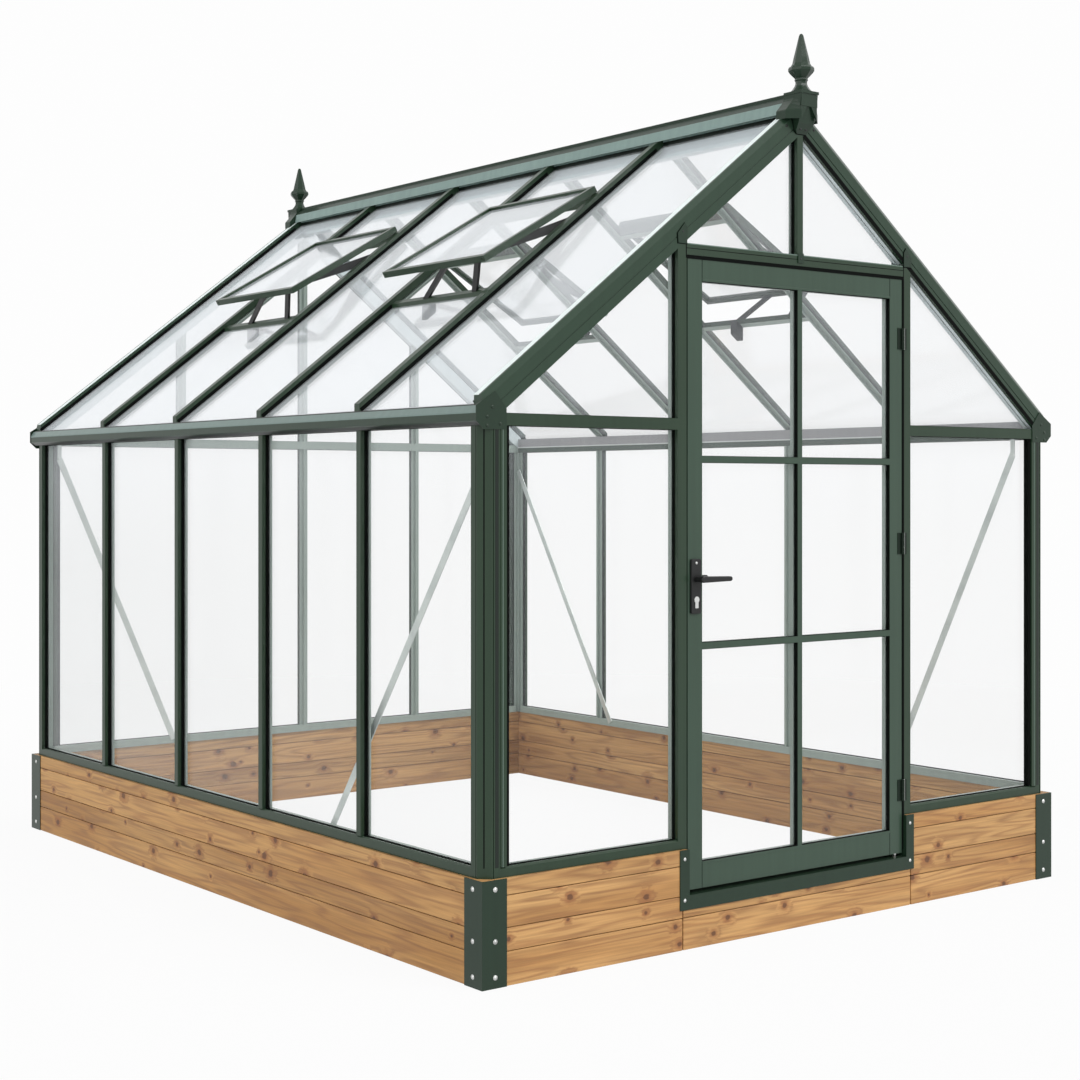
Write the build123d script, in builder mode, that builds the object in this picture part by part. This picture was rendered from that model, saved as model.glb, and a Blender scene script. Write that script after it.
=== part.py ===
from build123d import *
import math
import os

# Greenhouse with an aluminium frame on a timber plinth.
# Millimetres. X runs across the gables, Y along the ridge, Z up.
# The door gable faces -Y. The origin is the middle of the plinth, at ground level.

# Driving dimensions of the building
bay_length = 620.0
wall_bay_count = 5
gable_bay_length = 610.0
gable_bay_count = 4
corner_reach = 40.0
plinth_height = 306.0
eaves_height = 1589.0
eaves_beam_height = 30.5
roof_pitch = 37.75
door_opening_width = 984.0
door_head_margin = 7.9
door_foot_gap = 12.0

# Timber plinth
plinth_thickness = 45.0
plinth_ledge = 11.0
door_step_height = 122.0
door_step_overlap = 21.0

# Plinth metalwork
angle_leg = 87.0
angle_thickness = 3.0
jamb_leg = 38.0
door_sill_height = 44.0
door_sill_wall = 3.0
door_sill_upstand = 24.0

# Glazing bar section
bar_depth = 45.0
cap_width = 28.0
cap_depth = 25.0
cap_corner = 2.0
web_width = 8.0
flange_width = 40.0
flange_thickness = 3.4
stem_width = 6.0
glass_thickness = 4.0
glass_clearance = 0.3
slot_depth = 12.0

# Base rail and transoms
base_rail_height = 30.0
base_rail_edge = 5.0
transom_height = 35.0

# Corner post section
post_width = 60.0
post_chamfer = 30.0
post_core = 45.0
post_flange_thickness = 3.4
post_groove_width = 3.0
post_groove_depth = 2.0
post_groove_offset = 4.0

# Gable rafter section
rafter_height = 80.0
rafter_bevel_height = 17.0
rafter_bevel_depth = 12.0
rafter_groove_width = 3.0
rafter_groove_depth = 2.0
rafter_groove_height = 28.0

# Eaves beam, gutter and end plates
gutter_reach = 24.0
gutter_wall = 2.5
gutter_foot_reach = 8.0
gutter_lip_reach = 10.0
gutter_foot_rise = 12.0
gutter_face_height = 25.0
gutter_lip_rise = 22.0
gutter_back_gap = 3.5
end_plate_thickness = 3.0
end_plate_margin = 2.0
end_plate_width = 80.0
end_plate_drop = 12.0
end_plate_lip = 9.0
bar_overhang = 6.0
glass_overhang = 4.0

# Ridge
ridge_web_width = 40.0
ridge_web_height = 76.0
ridge_cap_width = 92.0
ridge_cap_gap = 0.6
ridge_flank_height = 36.0
ridge_shoulder = 40.0
ridge_crown_width = 22.0
ridge_crown_rise = 36.0
ridge_crown_step = 10.0

# Ridge end blocks with finials
block_width = 80.0
block_reach = 44.0
block_length = 80.0
block_top_rise = 33.0
block_drop = 40.0
block_bevel = 6.0
finial_base_radius = 30.0
finial_neck_radius = 13.0
finial_ring_radius = 23.0
finial_ball_radius = 42.0
finial_ball_height = 68.0
finial_tip_radius = 2.5
finial_ring_step = 3.0
finial_ring_height = 6.0
finial_neck_height = 5.0
finial_height = 190.0
finial_sides = 8

# Roof vents
vent_hinge_reach = 308.0
vent_foot_reach = 735.0
vent_lift = 7.5
vent_overlap = 7.0
vent_frame_width = 18.0
vent_frame_depth = 22.0
vent_clearance = 2.0
vent_groove = 6.0
crossbar_width = 16.0
crossbar_top_drop = 14.0
vent_hinge_strip = 8.0
vent_foot_lap = 2.0
opener_base_length = 34.0
opener_base_height = 40.0
opener_arm_width = 34.0
opener_arm_thickness = 10.0
opener_arm_foot = 89.0
opener_arm_head = -55.0
opener_strut_foot = -196.0
opener_strut_head = -246.0
opener_strut_width = 26.0
stay_head_reach = 690.0
stay_bend_reach = 560.0
stay_foot_reach = 420.0
stay_height = 30.0
stay_thickness = 10.0

# Wind braces
brace_width = 26.0
brace_thickness = 3.0
brace_top_drop = 90.0
brace_high_drop = 55.0
brace_foot_drop = 12.0
brace_post_margin = 1.0
brace_high_inset = 82.0
brace_right_inset = 112.0
hanger_width = 18.0
hanger_lap = 20.0
near_brace_run = 845.0
right_brace_run = 576.0
far_brace_run = 713.0
back_brace_run = 522.0

# Door leaf
latch_gap = 6.0
hinge_gap = 5.0
door_recess = 2.0
door_thickness = 35.0
stile_width = 60.0
top_rail_height = 72.0
bottom_rail_height = 81.0
door_head_gap = 6.0
door_bar_width = 20.0
door_bar_web = 8.0
door_bar_upper_height = 1500.0
door_bar_lower_height = 924.0
door_groove_depth = 8.0
door_post_width = 36.0
door_stop_reach = 10.0
door_stop_thickness = 3.0

# Hinges
hinge_height = 72.0
hinge_upper_height = 1916.0
hinge_middle_height = 1224.0
hinge_lower_height = 390.0
knuckle_radius = 5.5
knuckle_gap = 0.5
hinge_pin_radius = 2.5
hinge_pin_clearance = 0.3
hinge_proud = 6.0
hinge_inset = 1.0
hinge_plate_thickness = 2.0
hinge_plate_width = 15.0

# Door handle and lock
handle_height = 1131.0
handle_inset = 30.0
handle_plate_width = 40.0
handle_plate_above = 62.0
handle_plate_below = 106.0
handle_plate_thickness = 8.0
handle_plate_corner = 5.0
plate_bevel = 1.5
spindle_radius = 4.0
spindle_clearance = 0.5
lever_neck_radius = 9.0
lever_neck_length = 25.0
lever_length = 118.0
lever_width = 20.0
lever_tip_width = 15.0
lever_thickness = 12.0
lever_edge_radius = 3.5
lever_plate_gap = 0.5
lock_drop = 63.0
lock_radius = 8.5
lock_stem_width = 10.0
lock_height = 33.0
lock_collar = 1.5
lock_clearance = 0.2

# Worked out from the driving dimensions
half_length = wall_bay_count * bay_length / 2 + corner_reach
half_width = gable_bay_count * gable_bay_length / 2 + corner_reach
pitch_tan = math.tan(math.radians(roof_pitch))
pitch_cos = math.cos(math.radians(roof_pitch))
pitch_sin = math.sin(math.radians(roof_pitch))
apex_height = (
    eaves_height + eaves_beam_height + bar_depth / pitch_cos + half_width * pitch_tan
)
slot_top = cap_depth
slot_bottom = cap_depth + glass_thickness + 2 * glass_clearance
glass_top = slot_top + glass_clearance
glass_bottom = glass_top + glass_thickness
flange_bottom = slot_bottom + flange_thickness
rail_top = plinth_height + base_rail_height
glass_inset = slot_depth - glass_clearance
half_opening = door_opening_width / 2
door_sill_bottom = door_step_height
door_sill_top = door_sill_bottom + door_sill_height
door_foot_height = door_sill_top + door_foot_gap
door_post_outer = half_opening + door_post_width
header_top = apex_height - half_opening * pitch_tan - rafter_height / pitch_cos - door_head_margin
door_head_height = header_top - transom_height
transom_top = eaves_height + transom_height
web_edge = web_width / 2 + glass_clearance
leaf_left = -half_opening + latch_gap
leaf_right = half_opening - hinge_gap
leaf_front = -half_length + door_recess
leaf_back = leaf_front + door_thickness
leaf_top = door_head_height - door_head_gap
leaf_middle = (leaf_left + leaf_right) / 2


def roof_height(x, drop=0.0):
    """Height of the line that lies `drop` below the outer plane of the roof bars."""
    return apex_height - abs(x) * pitch_tan - drop / pitch_cos


def slope_strip(x_inner, x_outer, drop_top, drop_bottom):
    """Four corners of a strip along the left slope, with plumb ends."""
    return [
        (-x_inner, roof_height(x_inner, drop_top)),
        (-x_outer, roof_height(x_outer, drop_top)),
        (-x_outer, roof_height(x_outer, drop_bottom)),
        (-x_inner, roof_height(x_inner, drop_bottom)),
    ]


def above_roof_line(drop):
    """Corners of the area above a line `drop` below the outer roof plane."""
    reach = half_width + 2 * corner_reach
    ceiling = apex_height + rafter_height
    return [
        (-reach, roof_height(reach, drop)),
        (0, roof_height(0, drop)),
        (reach, roof_height(reach, drop)),
        (reach, ceiling),
        (-reach, ceiling),
    ]


def reach_at(height, drop):
    """Distance from the middle plane at which a roof line comes down to a height."""
    return (apex_height - drop / pitch_cos - height) / pitch_tan


# Centre lines of the bars
wall_bar_positions = [
    -half_length + corner_reach + bay_length * number for number in range(1, wall_bay_count)
]
gable_bar_positions = [
    -half_width + corner_reach + gable_bay_length * number for number in range(1, gable_bay_count)
]
wall_lines = [-half_length + corner_reach] + wall_bar_positions + [half_length - corner_reach]
gable_lines = [-half_width + corner_reach] + gable_bar_positions + [half_width - corner_reach]

# Section of a glazing bar: x across the bar, y inwards from its outer face
bar_section = [
    (-cap_width / 2, cap_corner),
    (-cap_width / 2 + cap_corner, 0),
    (cap_width / 2 - cap_corner, 0),
    (cap_width / 2, cap_corner),
    (cap_width / 2, slot_top),
    (web_width / 2, slot_top),
    (web_width / 2, slot_bottom),
    (flange_width / 2, slot_bottom),
    (flange_width / 2, flange_bottom),
    (stem_width / 2, flange_bottom),
    (stem_width / 2, bar_depth),
    (-stem_width / 2, bar_depth),
    (-stem_width / 2, flange_bottom),
    (-flange_width / 2, flange_bottom),
    (-flange_width / 2, slot_bottom),
    (-web_width / 2, slot_bottom),
    (-web_width / 2, slot_top),
    (-cap_width / 2, slot_top),
]

# The same section as layers: half width, then upper and lower drop
bar_layers = [
    (cap_width / 2, 0.0, slot_top),
    (web_width / 2, slot_top, slot_bottom),
    (flange_width / 2, slot_bottom, flange_bottom),
    (stem_width / 2, flange_bottom, bar_depth),
]

# Timber plinth, long sides
outer_x = half_width + plinth_ledge
outer_y = half_length + plinth_ledge
with BuildPart() as plinth_sides:
    with BuildSketch(Plane.XY):
        with Locations((-outer_x, 0)):
            Rectangle(plinth_thickness, 2 * outer_y, align=(Align.MIN, Align.CENTER))
    extrude(amount=plinth_height)
    mirror(about=Plane.YZ)
plinth_sides.part.label = "plinth_sides"

# Timber plinth, back
plinth_inner_x = outer_x - plinth_thickness
with BuildPart() as plinth_back:
    with BuildSketch(Plane.XY):
        with Locations((0, outer_y)):
            Rectangle(2 * plinth_inner_x, plinth_thickness, align=(Align.CENTER, Align.MAX))
    extrude(amount=plinth_height)
plinth_back.part.label = "plinth_back"

# Timber plinth, front pieces beside the door, stepped over the ends of the door step
cut_half = half_opening + angle_thickness
step_half = cut_half + door_step_overlap
with BuildPart() as plinth_front:
    with BuildSketch(Plane.XZ.offset(outer_y)):
        Polygon(
            (-plinth_inner_x, 0),
            (-step_half, 0),
            (-step_half, door_step_height),
            (-cut_half, door_step_height),
            (-cut_half, plinth_height),
            (-plinth_inner_x, plinth_height),
            align=None,
        )
    extrude(amount=-plinth_thickness)
    mirror(about=Plane.YZ)
plinth_front.part.label = "plinth_front"

# Timber panel under the door, with a tongue that carries the sill channel
with BuildPart() as door_step:
    with BuildSketch(Plane.XZ.offset(outer_y)):
        with Locations((0, 0)):
            Rectangle(2 * step_half, door_step_height, align=(Align.CENTER, Align.MIN))
            Rectangle(
                door_opening_width,
                door_sill_top - door_sill_wall,
                align=(Align.CENTER, Align.MIN),
            )
    extrude(amount=-plinth_thickness)
door_step.part.label = "door_step"

# Metal angles on the plinth: at its corners, and lining the cut-out below the door
with BuildPart() as plinth_angles:
    with BuildSketch(Plane.XY):
        with Locations((-outer_x - angle_thickness, -outer_y - angle_thickness)):
            Rectangle(angle_leg, angle_thickness, align=(Align.MIN, Align.MIN))
            Rectangle(angle_thickness, angle_leg, align=(Align.MIN, Align.MIN))
    extrude(amount=plinth_height)
    mirror(about=Plane.XZ)
    with BuildSketch(Plane.XY.offset(door_sill_bottom)):
        with Locations((-half_opening, -outer_y - angle_thickness)):
            Rectangle(jamb_leg, angle_thickness, align=(Align.MAX, Align.MIN))
            Rectangle(
                angle_thickness,
                plinth_thickness + angle_thickness,
                align=(Align.MAX, Align.MIN),
            )
    extrude(amount=plinth_height - door_sill_bottom)
    mirror(about=Plane.YZ)
plinth_angles.part.label = "plinth_angles"

# Sill channel on the door step, with an upstand behind the leaf
sill_front = -outer_y - angle_thickness
sill_back = -half_length + bar_depth
with BuildPart() as door_sill:
    with BuildSketch(Plane.YZ.offset(-half_opening)):
        Polygon(
            (sill_front, door_sill_bottom),
            (sill_front, door_sill_top),
            (sill_back - door_stop_thickness, door_sill_top),
            (sill_back - door_stop_thickness, door_sill_top + door_sill_upstand),
            (sill_back, door_sill_top + door_sill_upstand),
            (sill_back, door_sill_bottom),
            (sill_back - door_sill_wall, door_sill_bottom),
            (sill_back - door_sill_wall, door_sill_top - door_sill_wall),
            (sill_front + door_sill_wall, door_sill_top - door_sill_wall),
            (sill_front + door_sill_wall, door_sill_bottom),
            align=None,
        )
    extrude(amount=door_opening_width)
door_sill.part.label = "door_sill"

# Corner posts: x and y run inwards from the outer corner
groove_start = post_chamfer + post_groove_offset
groove_end = groove_start + post_groove_width
flange_end = slot_bottom + post_flange_thickness
half_post = [
    (post_chamfer, 0),
    (groove_start, 0),
    (groove_start, post_groove_depth),
    (groove_end, post_groove_depth),
    (groove_end, 0),
    (post_width, 0),
    (post_width, slot_top),
    (post_width - slot_depth, slot_top),
    (post_width - slot_depth, slot_bottom),
    (post_width, slot_bottom),
    (post_width, flange_end),
    (post_core, flange_end),
]
post_section = half_post + [(post_core, post_core)] + [(y, x) for x, y in reversed(half_post)]
with BuildPart() as corner_posts:
    with BuildSketch(Plane.XY.offset(plinth_height)):
        Polygon(*[(x - half_width, y - half_length) for x, y in post_section], align=None)
    extrude(amount=eaves_height - plinth_height)
    mirror(about=Plane.YZ)
    mirror(about=Plane.XZ)
corner_posts.part.label = "corner_posts"

# Section of the base rail: x inwards from the outer face, y up
rail_section = [
    (0, plinth_height),
    (0, rail_top - base_rail_edge),
    (base_rail_edge, rail_top),
    (slot_top, rail_top),
    (slot_top, rail_top - slot_depth),
    (slot_bottom, rail_top - slot_depth),
    (slot_bottom, rail_top),
    (bar_depth, rail_top),
    (bar_depth, plinth_height),
]
post_inner = half_length - post_width
gable_rail_end = half_width - post_width
with BuildPart() as base_rails:
    with BuildSketch(Plane.XZ.offset(post_inner)):
        Polygon(*[(depth - half_width, z) for depth, z in rail_section], align=None)
    extrude(amount=-2 * post_inner)
    with BuildSketch(Plane.YZ.offset(-gable_rail_end)):
        Polygon(*[(depth - half_length, z) for depth, z in rail_section], align=None)
    extrude(amount=gable_rail_end - door_post_outer)
    mirror(about=Plane.YZ)
    with BuildSketch(Plane.YZ.offset(-gable_rail_end)):
        Polygon(*[(half_length - depth, z) for depth, z in rail_section], align=None)
    extrude(amount=2 * gable_rail_end)
base_rails.part.label = "base_rails"

# Glazing bars of the side walls
with BuildPart() as wall_bars:
    for position in wall_bar_positions:
        with BuildSketch(Plane.XY.offset(rail_top)):
            Polygon(*[(y - half_width, position + x) for x, y in bar_section], align=None)
        extrude(amount=eaves_height - rail_top)
    mirror(about=Plane.YZ)
wall_bars.part.label = "wall_bars"

# Glazing bars of the back gable, cut to the underside of the rafters
with BuildPart() as back_bars:
    for position in gable_bar_positions:
        with BuildSketch(Plane.XY.offset(rail_top)):
            Polygon(*[(position + x, half_length - y) for x, y in bar_section], align=None)
        extrude(amount=apex_height - rail_top)
    with BuildSketch(Plane.XZ.offset(-half_length)):
        Polygon(*above_roof_line(rafter_height), align=None)
    extrude(amount=bar_depth, mode=Mode.SUBTRACT)
back_bars.part.label = "back_bars"

# Door posts, with a groove for the side glass and a stop flange behind the leaf
door_post_section = [
    (0, 0),
    (door_post_width, 0),
    (door_post_width, slot_top),
    (door_post_width - slot_depth, slot_top),
    (door_post_width - slot_depth, slot_bottom),
    (door_post_width, slot_bottom),
    (door_post_width, bar_depth),
    (-door_stop_reach, bar_depth),
    (-door_stop_reach, bar_depth - door_stop_thickness),
    (0, bar_depth - door_stop_thickness),
]
with BuildPart() as door_posts:
    with BuildSketch(Plane.XY.offset(plinth_height)):
        Polygon(
            *[(-half_opening - x, y - half_length) for x, y in door_post_section], align=None
        )
    extrude(amount=apex_height - plinth_height)
    with BuildSketch(Plane.XZ.offset(half_length)):
        Polygon(*above_roof_line(rafter_height), align=None)
    extrude(amount=-bar_depth, mode=Mode.SUBTRACT)
    mirror(about=Plane.YZ)
door_posts.part.label = "door_posts"

# Header over the door, cut short where it meets the stop flanges of the posts
with BuildPart() as door_header:
    with BuildSketch(Plane.YZ.offset(-half_opening)):
        Polygon(
            (-half_length, door_head_height),
            (-half_length, header_top),
            (-half_length + slot_top, header_top),
            (-half_length + slot_top, header_top - slot_depth),
            (-half_length + slot_bottom, header_top - slot_depth),
            (-half_length + slot_bottom, header_top),
            (-half_length + bar_depth - door_stop_thickness, header_top),
            (-half_length + bar_depth - door_stop_thickness, door_head_height),
            align=None,
        )
    extrude(amount=door_opening_width)
    stop_half = half_opening - door_stop_reach
    with BuildSketch(Plane.XZ.offset(half_length - bar_depth + door_stop_thickness)):
        Polygon(
            (-stop_half, door_head_height - door_stop_reach),
            (stop_half, door_head_height - door_stop_reach),
            (stop_half, header_top),
            (-stop_half, header_top),
            align=None,
        )
    extrude(amount=-door_stop_thickness)
    with BuildSketch(Plane.XZ.offset(half_length)):
        Polygon(*above_roof_line(rafter_height), align=None)
    extrude(amount=-bar_depth, mode=Mode.SUBTRACT)
door_header.part.label = "door_header"

# Mullion from the header to the apex of the front gable
with BuildPart() as peak_mullion:
    with BuildSketch(Plane.XY.offset(header_top)):
        Polygon(*[(x, y - half_length) for x, y in bar_section], align=None)
    extrude(amount=apex_height - header_top)
    with BuildSketch(Plane.XZ.offset(half_length)):
        Polygon(*above_roof_line(rafter_height), align=None)
    extrude(amount=-bar_depth, mode=Mode.SUBTRACT)
peak_mullion.part.label = "peak_mullion"


def transom_piece(x_outer, x_inner):
    """Corners of an eaves-level transom, seen from the front, cut under the rafter."""
    tip = reach_at(eaves_height, rafter_height)
    shoulder = reach_at(transom_top, rafter_height)
    outer_top = min(x_outer, shoulder)
    outer_bottom = min(x_outer, tip)
    corners = [
        (-x_inner, eaves_height),
        (-outer_bottom, eaves_height),
        (-outer_top, transom_top),
        (-x_inner, transom_top),
    ]
    if x_outer > shoulder and x_outer < tip:
        corners.insert(2, (-x_outer, roof_height(x_outer, rafter_height)))
    return corners


# Transoms of the front gable
with BuildPart() as front_transoms:
    with BuildSketch(Plane.XZ.offset(half_length)):
        Polygon(*transom_piece(half_width, door_post_outer), align=None)
    extrude(amount=-bar_depth)
    with BuildSketch(Plane.XZ.offset(half_length - slot_top)):
        Polygon(
            (-half_width, eaves_height),
            (-half_width, eaves_height + slot_depth),
            (-door_post_outer, eaves_height + slot_depth),
            (-door_post_outer, eaves_height),
            align=None,
        )
        Polygon(
            (-half_width, transom_top - slot_depth),
            (-half_width, transom_top),
            (-door_post_outer, transom_top),
            (-door_post_outer, transom_top - slot_depth),
            align=None,
        )
    extrude(amount=-(slot_bottom - slot_top), mode=Mode.SUBTRACT)
    mirror(about=Plane.YZ)
front_transoms.part.label = "front_transoms"

# Transoms of the back gable, coped round its bars
with BuildPart() as back_transoms:
    with BuildSketch(Plane.XZ.offset(-half_length)):
        Polygon(*transom_piece(half_width, 0), align=None)
    extrude(amount=bar_depth)
    mirror(about=Plane.YZ)
    with BuildSketch(Plane.XZ.offset(-half_length + slot_top)):
        with Locations((0, eaves_height), (0, transom_top - slot_depth)):
            Rectangle(2 * half_width, slot_depth, align=(Align.CENTER, Align.MIN))
    extrude(amount=slot_bottom - slot_top, mode=Mode.SUBTRACT)
    add(back_bars.part, mode=Mode.SUBTRACT)
back_transoms.part.label = "back_transoms"

# Gable rafters of the left slope, front and back: extruded down the slope, cut plumb at apex and eaves
rafter_start = rafter_height * pitch_tan + post_width
rafter_length = half_width / pitch_cos + 2 * rafter_start
groove_top = rafter_height - rafter_groove_height - rafter_groove_width
rafter_section = [
    (0, rafter_bevel_height),
    (rafter_bevel_depth, 0),
    (bar_depth, 0),
    (bar_depth, slot_top),
    (bar_depth - slot_depth, slot_top),
    (bar_depth - slot_depth, slot_bottom),
    (bar_depth, slot_bottom),
    (bar_depth, rafter_height),
    (slot_bottom, rafter_height),
    (slot_bottom, rafter_height - slot_depth),
    (slot_top, rafter_height - slot_depth),
    (slot_top, rafter_height),
    (0, rafter_height),
    (0, groove_top + rafter_groove_width),
    (rafter_groove_depth, groove_top + rafter_groove_width),
    (rafter_groove_depth, groove_top),
    (0, groove_top),
]
rafter_plane = Plane(
    origin=(0, -half_length, apex_height),
    x_dir=(0, 1, 0),
    z_dir=(-pitch_cos, 0, -pitch_sin),
)
with BuildPart() as left_rafters:
    with BuildSketch(rafter_plane.offset(-rafter_start)):
        Polygon(*rafter_section, align=None)
    extrude(amount=rafter_length)
    with BuildSketch(Plane.XZ.offset(half_length)):
        with Locations((0, eaves_height)):
            Rectangle(half_width, 2 * apex_height, align=(Align.MAX, Align.MIN))
    extrude(amount=-bar_depth, mode=Mode.INTERSECT)
    mirror(about=Plane.XZ)
left_rafters.part.label = "left_rafters"

with BuildPart() as right_rafters:
    mirror(left_rafters.part, about=Plane.YZ)
right_rafters.part.label = "right_rafters"

# Eaves beams: they carry the feet of the roof bars and hold the top of the wall glass
beam_half = half_length - bar_depth
with BuildPart() as eaves_beams:
    with BuildSketch(Plane.XZ.offset(beam_half)):
        Polygon(
            (-half_width, eaves_height),
            (-half_width, roof_height(half_width, bar_depth)),
            (-half_width + bar_depth, roof_height(half_width - bar_depth, bar_depth)),
            (-half_width + bar_depth, eaves_height),
            (-half_width + slot_bottom, eaves_height),
            (-half_width + slot_bottom, eaves_height + slot_depth),
            (-half_width + slot_top, eaves_height + slot_depth),
            (-half_width + slot_top, eaves_height),
            align=None,
        )
    extrude(amount=-2 * beam_half)
    mirror(about=Plane.YZ)
eaves_beams.part.label = "eaves_beams"

# Gutters along the eaves
foot_top = eaves_height + gutter_foot_rise
face_top = foot_top + gutter_face_height
lip_top = face_top + gutter_lip_rise
gutter_back_top = roof_height(half_width, bar_depth) - gutter_back_gap
gutter_outline = [
    (0, eaves_height),
    (gutter_foot_reach, eaves_height),
    (gutter_reach, foot_top),
    (gutter_reach, face_top),
    (gutter_lip_reach, lip_top),
    (gutter_lip_reach - gutter_wall, lip_top),
    (gutter_reach - gutter_wall, face_top - gutter_wall / 2),
    (gutter_reach - gutter_wall, foot_top + gutter_wall / 2),
    (gutter_foot_reach - gutter_wall / 2, eaves_height + gutter_wall),
    (gutter_wall, eaves_height + gutter_wall),
    (gutter_wall, gutter_back_top),
    (0, gutter_back_top),
]
with BuildPart() as gutters:
    with BuildSketch(Plane.XZ.offset(half_length)):
        Polygon(*[(-half_width - reach, z) for reach, z in gutter_outline], align=None)
    extrude(amount=-2 * half_length)
    mirror(about=Plane.YZ)
gutters.part.label = "gutters"

# Six-sided plates that close the corners of the eaves
plate_outer = half_width + gutter_reach + end_plate_margin
plate_inner = half_width - end_plate_width
plate_foot = eaves_height - end_plate_drop
plate_top_reach = half_width - 0.5 * end_plate_width
with BuildPart() as eaves_end_plates:
    with BuildSketch(Plane.XZ.offset(half_length)):
        Polygon(
            (-plate_outer, foot_top),
            (-plate_outer, roof_height(plate_outer, end_plate_lip)),
            (-plate_top_reach, roof_height(plate_top_reach, rafter_bevel_height)),
            (-plate_inner, roof_height(plate_inner, rafter_height)),
            (-plate_inner, plate_foot),
            (-half_width, plate_foot),
            align=None,
        )
    extrude(amount=end_plate_thickness)
    mirror(about=Plane.YZ)
    mirror(about=Plane.XZ)
eaves_end_plates.part.label = "eaves_end_plates"

# Ridge: a web that takes the heads of the roof bars, and a bevelled cap over them
web_half = ridge_web_width / 2
cap_half = ridge_cap_width / 2
crown_half = ridge_crown_width / 2
crown_top = apex_height + ridge_crown_rise
ridge_web_foot = roof_height(web_half) - ridge_web_height
ridge_shoulder_height = roof_height(cap_half, -ridge_cap_gap) + ridge_flank_height
block_inner = half_length + block_reach - block_length
with BuildPart() as ridge:
    with BuildSketch(Plane.XZ.offset(block_inner)):
        Polygon(
            (0, crown_top),
            (-crown_half, crown_top),
            (-crown_half, crown_top - ridge_crown_step),
            (-ridge_shoulder, ridge_shoulder_height),
            (-cap_half, roof_height(cap_half, -ridge_cap_gap)),
            (0, roof_height(0, -ridge_cap_gap)),
            align=None,
        )
    extrude(amount=-2 * block_inner)
    with BuildSketch(Plane.XZ.offset(beam_half)):
        Polygon(
            (0, ridge_web_foot),
            (0, roof_height(0, -ridge_cap_gap)),
            (-web_half, roof_height(web_half, -ridge_cap_gap)),
            (-web_half, ridge_web_foot),
            align=None,
        )
    extrude(amount=-2 * beam_half)
    mirror(about=Plane.YZ)
ridge.part.label = "ridge"

# Ridge end blocks, each with a faceted finial: base, neck with ring, ball and spire
block_top = apex_height + block_top_rise
neck_foot = finial_ball_height * 0.35
ring_foot = neck_foot + finial_neck_height + finial_ring_step
ball_low = finial_ball_height - finial_ball_radius * 0.45
ball_high = finial_ball_height + finial_ball_radius * 0.45
ball_crown = finial_ball_height + finial_ball_radius * 0.8
finial_profile = [
    (0, finial_base_radius),
    (neck_foot * 0.4, finial_base_radius),
    (neck_foot * 0.7, finial_ring_radius),
    (neck_foot, finial_neck_radius),
    (ring_foot - finial_ring_step, finial_neck_radius),
    (ring_foot, finial_ring_radius),
    (ring_foot + finial_ring_height, finial_ring_radius),
    (ball_low, finial_ball_radius * 0.85),
    (finial_ball_height, finial_ball_radius),
    (ball_high, finial_ball_radius * 0.82),
    (ball_crown, finial_neck_radius * 1.4),
    (ball_crown + finial_ring_height, finial_neck_radius * 1.4),
    (finial_height, finial_tip_radius),
]
finial_centre = (0, -half_length - block_reach + block_length / 2)
with BuildPart() as ridge_finials:
    with BuildSketch(Plane.XZ.offset(half_length + block_reach)):
        with Locations((0, block_top)):
            Rectangle(block_width, block_top_rise + block_drop, align=(Align.CENTER, Align.MAX))
    extrude(amount=-block_length)
    chamfer(ridge_finials.faces().sort_by(Axis.Z)[-1].edges(), length=block_bevel)
    with BuildSketch(Plane.XZ.offset(half_length)):
        with Locations((0, apex_height + ridge_cap_gap)):
            Rectangle(block_width, 2 * block_drop, align=(Align.CENTER, Align.MAX))
    extrude(amount=-block_length, mode=Mode.SUBTRACT)
    for level, radius in finial_profile:
        with BuildSketch(Plane.XY.offset(block_top + level)):
            with Locations(finial_centre):
                RegularPolygon(radius, finial_sides)
    loft(ruled=True)
    mirror(about=Plane.XZ)
ridge_finials.part.label = "ridge_finials"

# Roof bars, both slopes
with BuildPart() as roof_bars:
    for position in wall_bar_positions:
        for half_layer, drop_top, drop_bottom in bar_layers:
            with BuildSketch(Plane.XZ.offset(-position)):
                Polygon(
                    *slope_strip(web_half, half_width + bar_overhang, drop_top, drop_bottom),
                    align=None,
                )
            extrude(amount=half_layer, both=True)
    mirror(about=Plane.YZ)
roof_bars.part.label = "roof_bars"

# Vents stand in the second and fourth bay of each slope
vent_bays = range(1, wall_bay_count, 2)
vent_centres = [(wall_lines[bay] + wall_lines[bay + 1]) / 2 for bay in vent_bays]
vent_hinge_inner = vent_hinge_reach - crossbar_width / 2
vent_hinge_outer = vent_hinge_reach + crossbar_width / 2
vent_foot_inner = vent_foot_reach - crossbar_width / 2
vent_foot_outer = vent_foot_reach + crossbar_width / 2
cap_clear_half = bay_length / 2 - cap_width / 2
vent_angle = math.radians(roof_pitch - vent_lift)
vent_length = (vent_foot_reach - vent_hinge_reach) / pitch_cos + vent_foot_lap
vent_half = cap_clear_half + vent_overlap


def vent_underside(x):
    """Height of the underside of an open vent at a distance from the middle plane."""
    hinge_height_on_roof = roof_height(vent_hinge_inner, -vent_clearance)
    return hinge_height_on_roof - (abs(x) - vent_hinge_inner) * math.tan(vent_angle)


def vent_plane(centre):
    """Plane of a vent's underside: x along the ridge, y down the vent, z outwards."""
    return Plane(
        origin=(-vent_hinge_inner, centre, vent_underside(vent_hinge_inner)),
        x_dir=(0, 1, 0),
        z_dir=(-math.sin(vent_angle), 0, math.cos(vent_angle)),
    )


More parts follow.
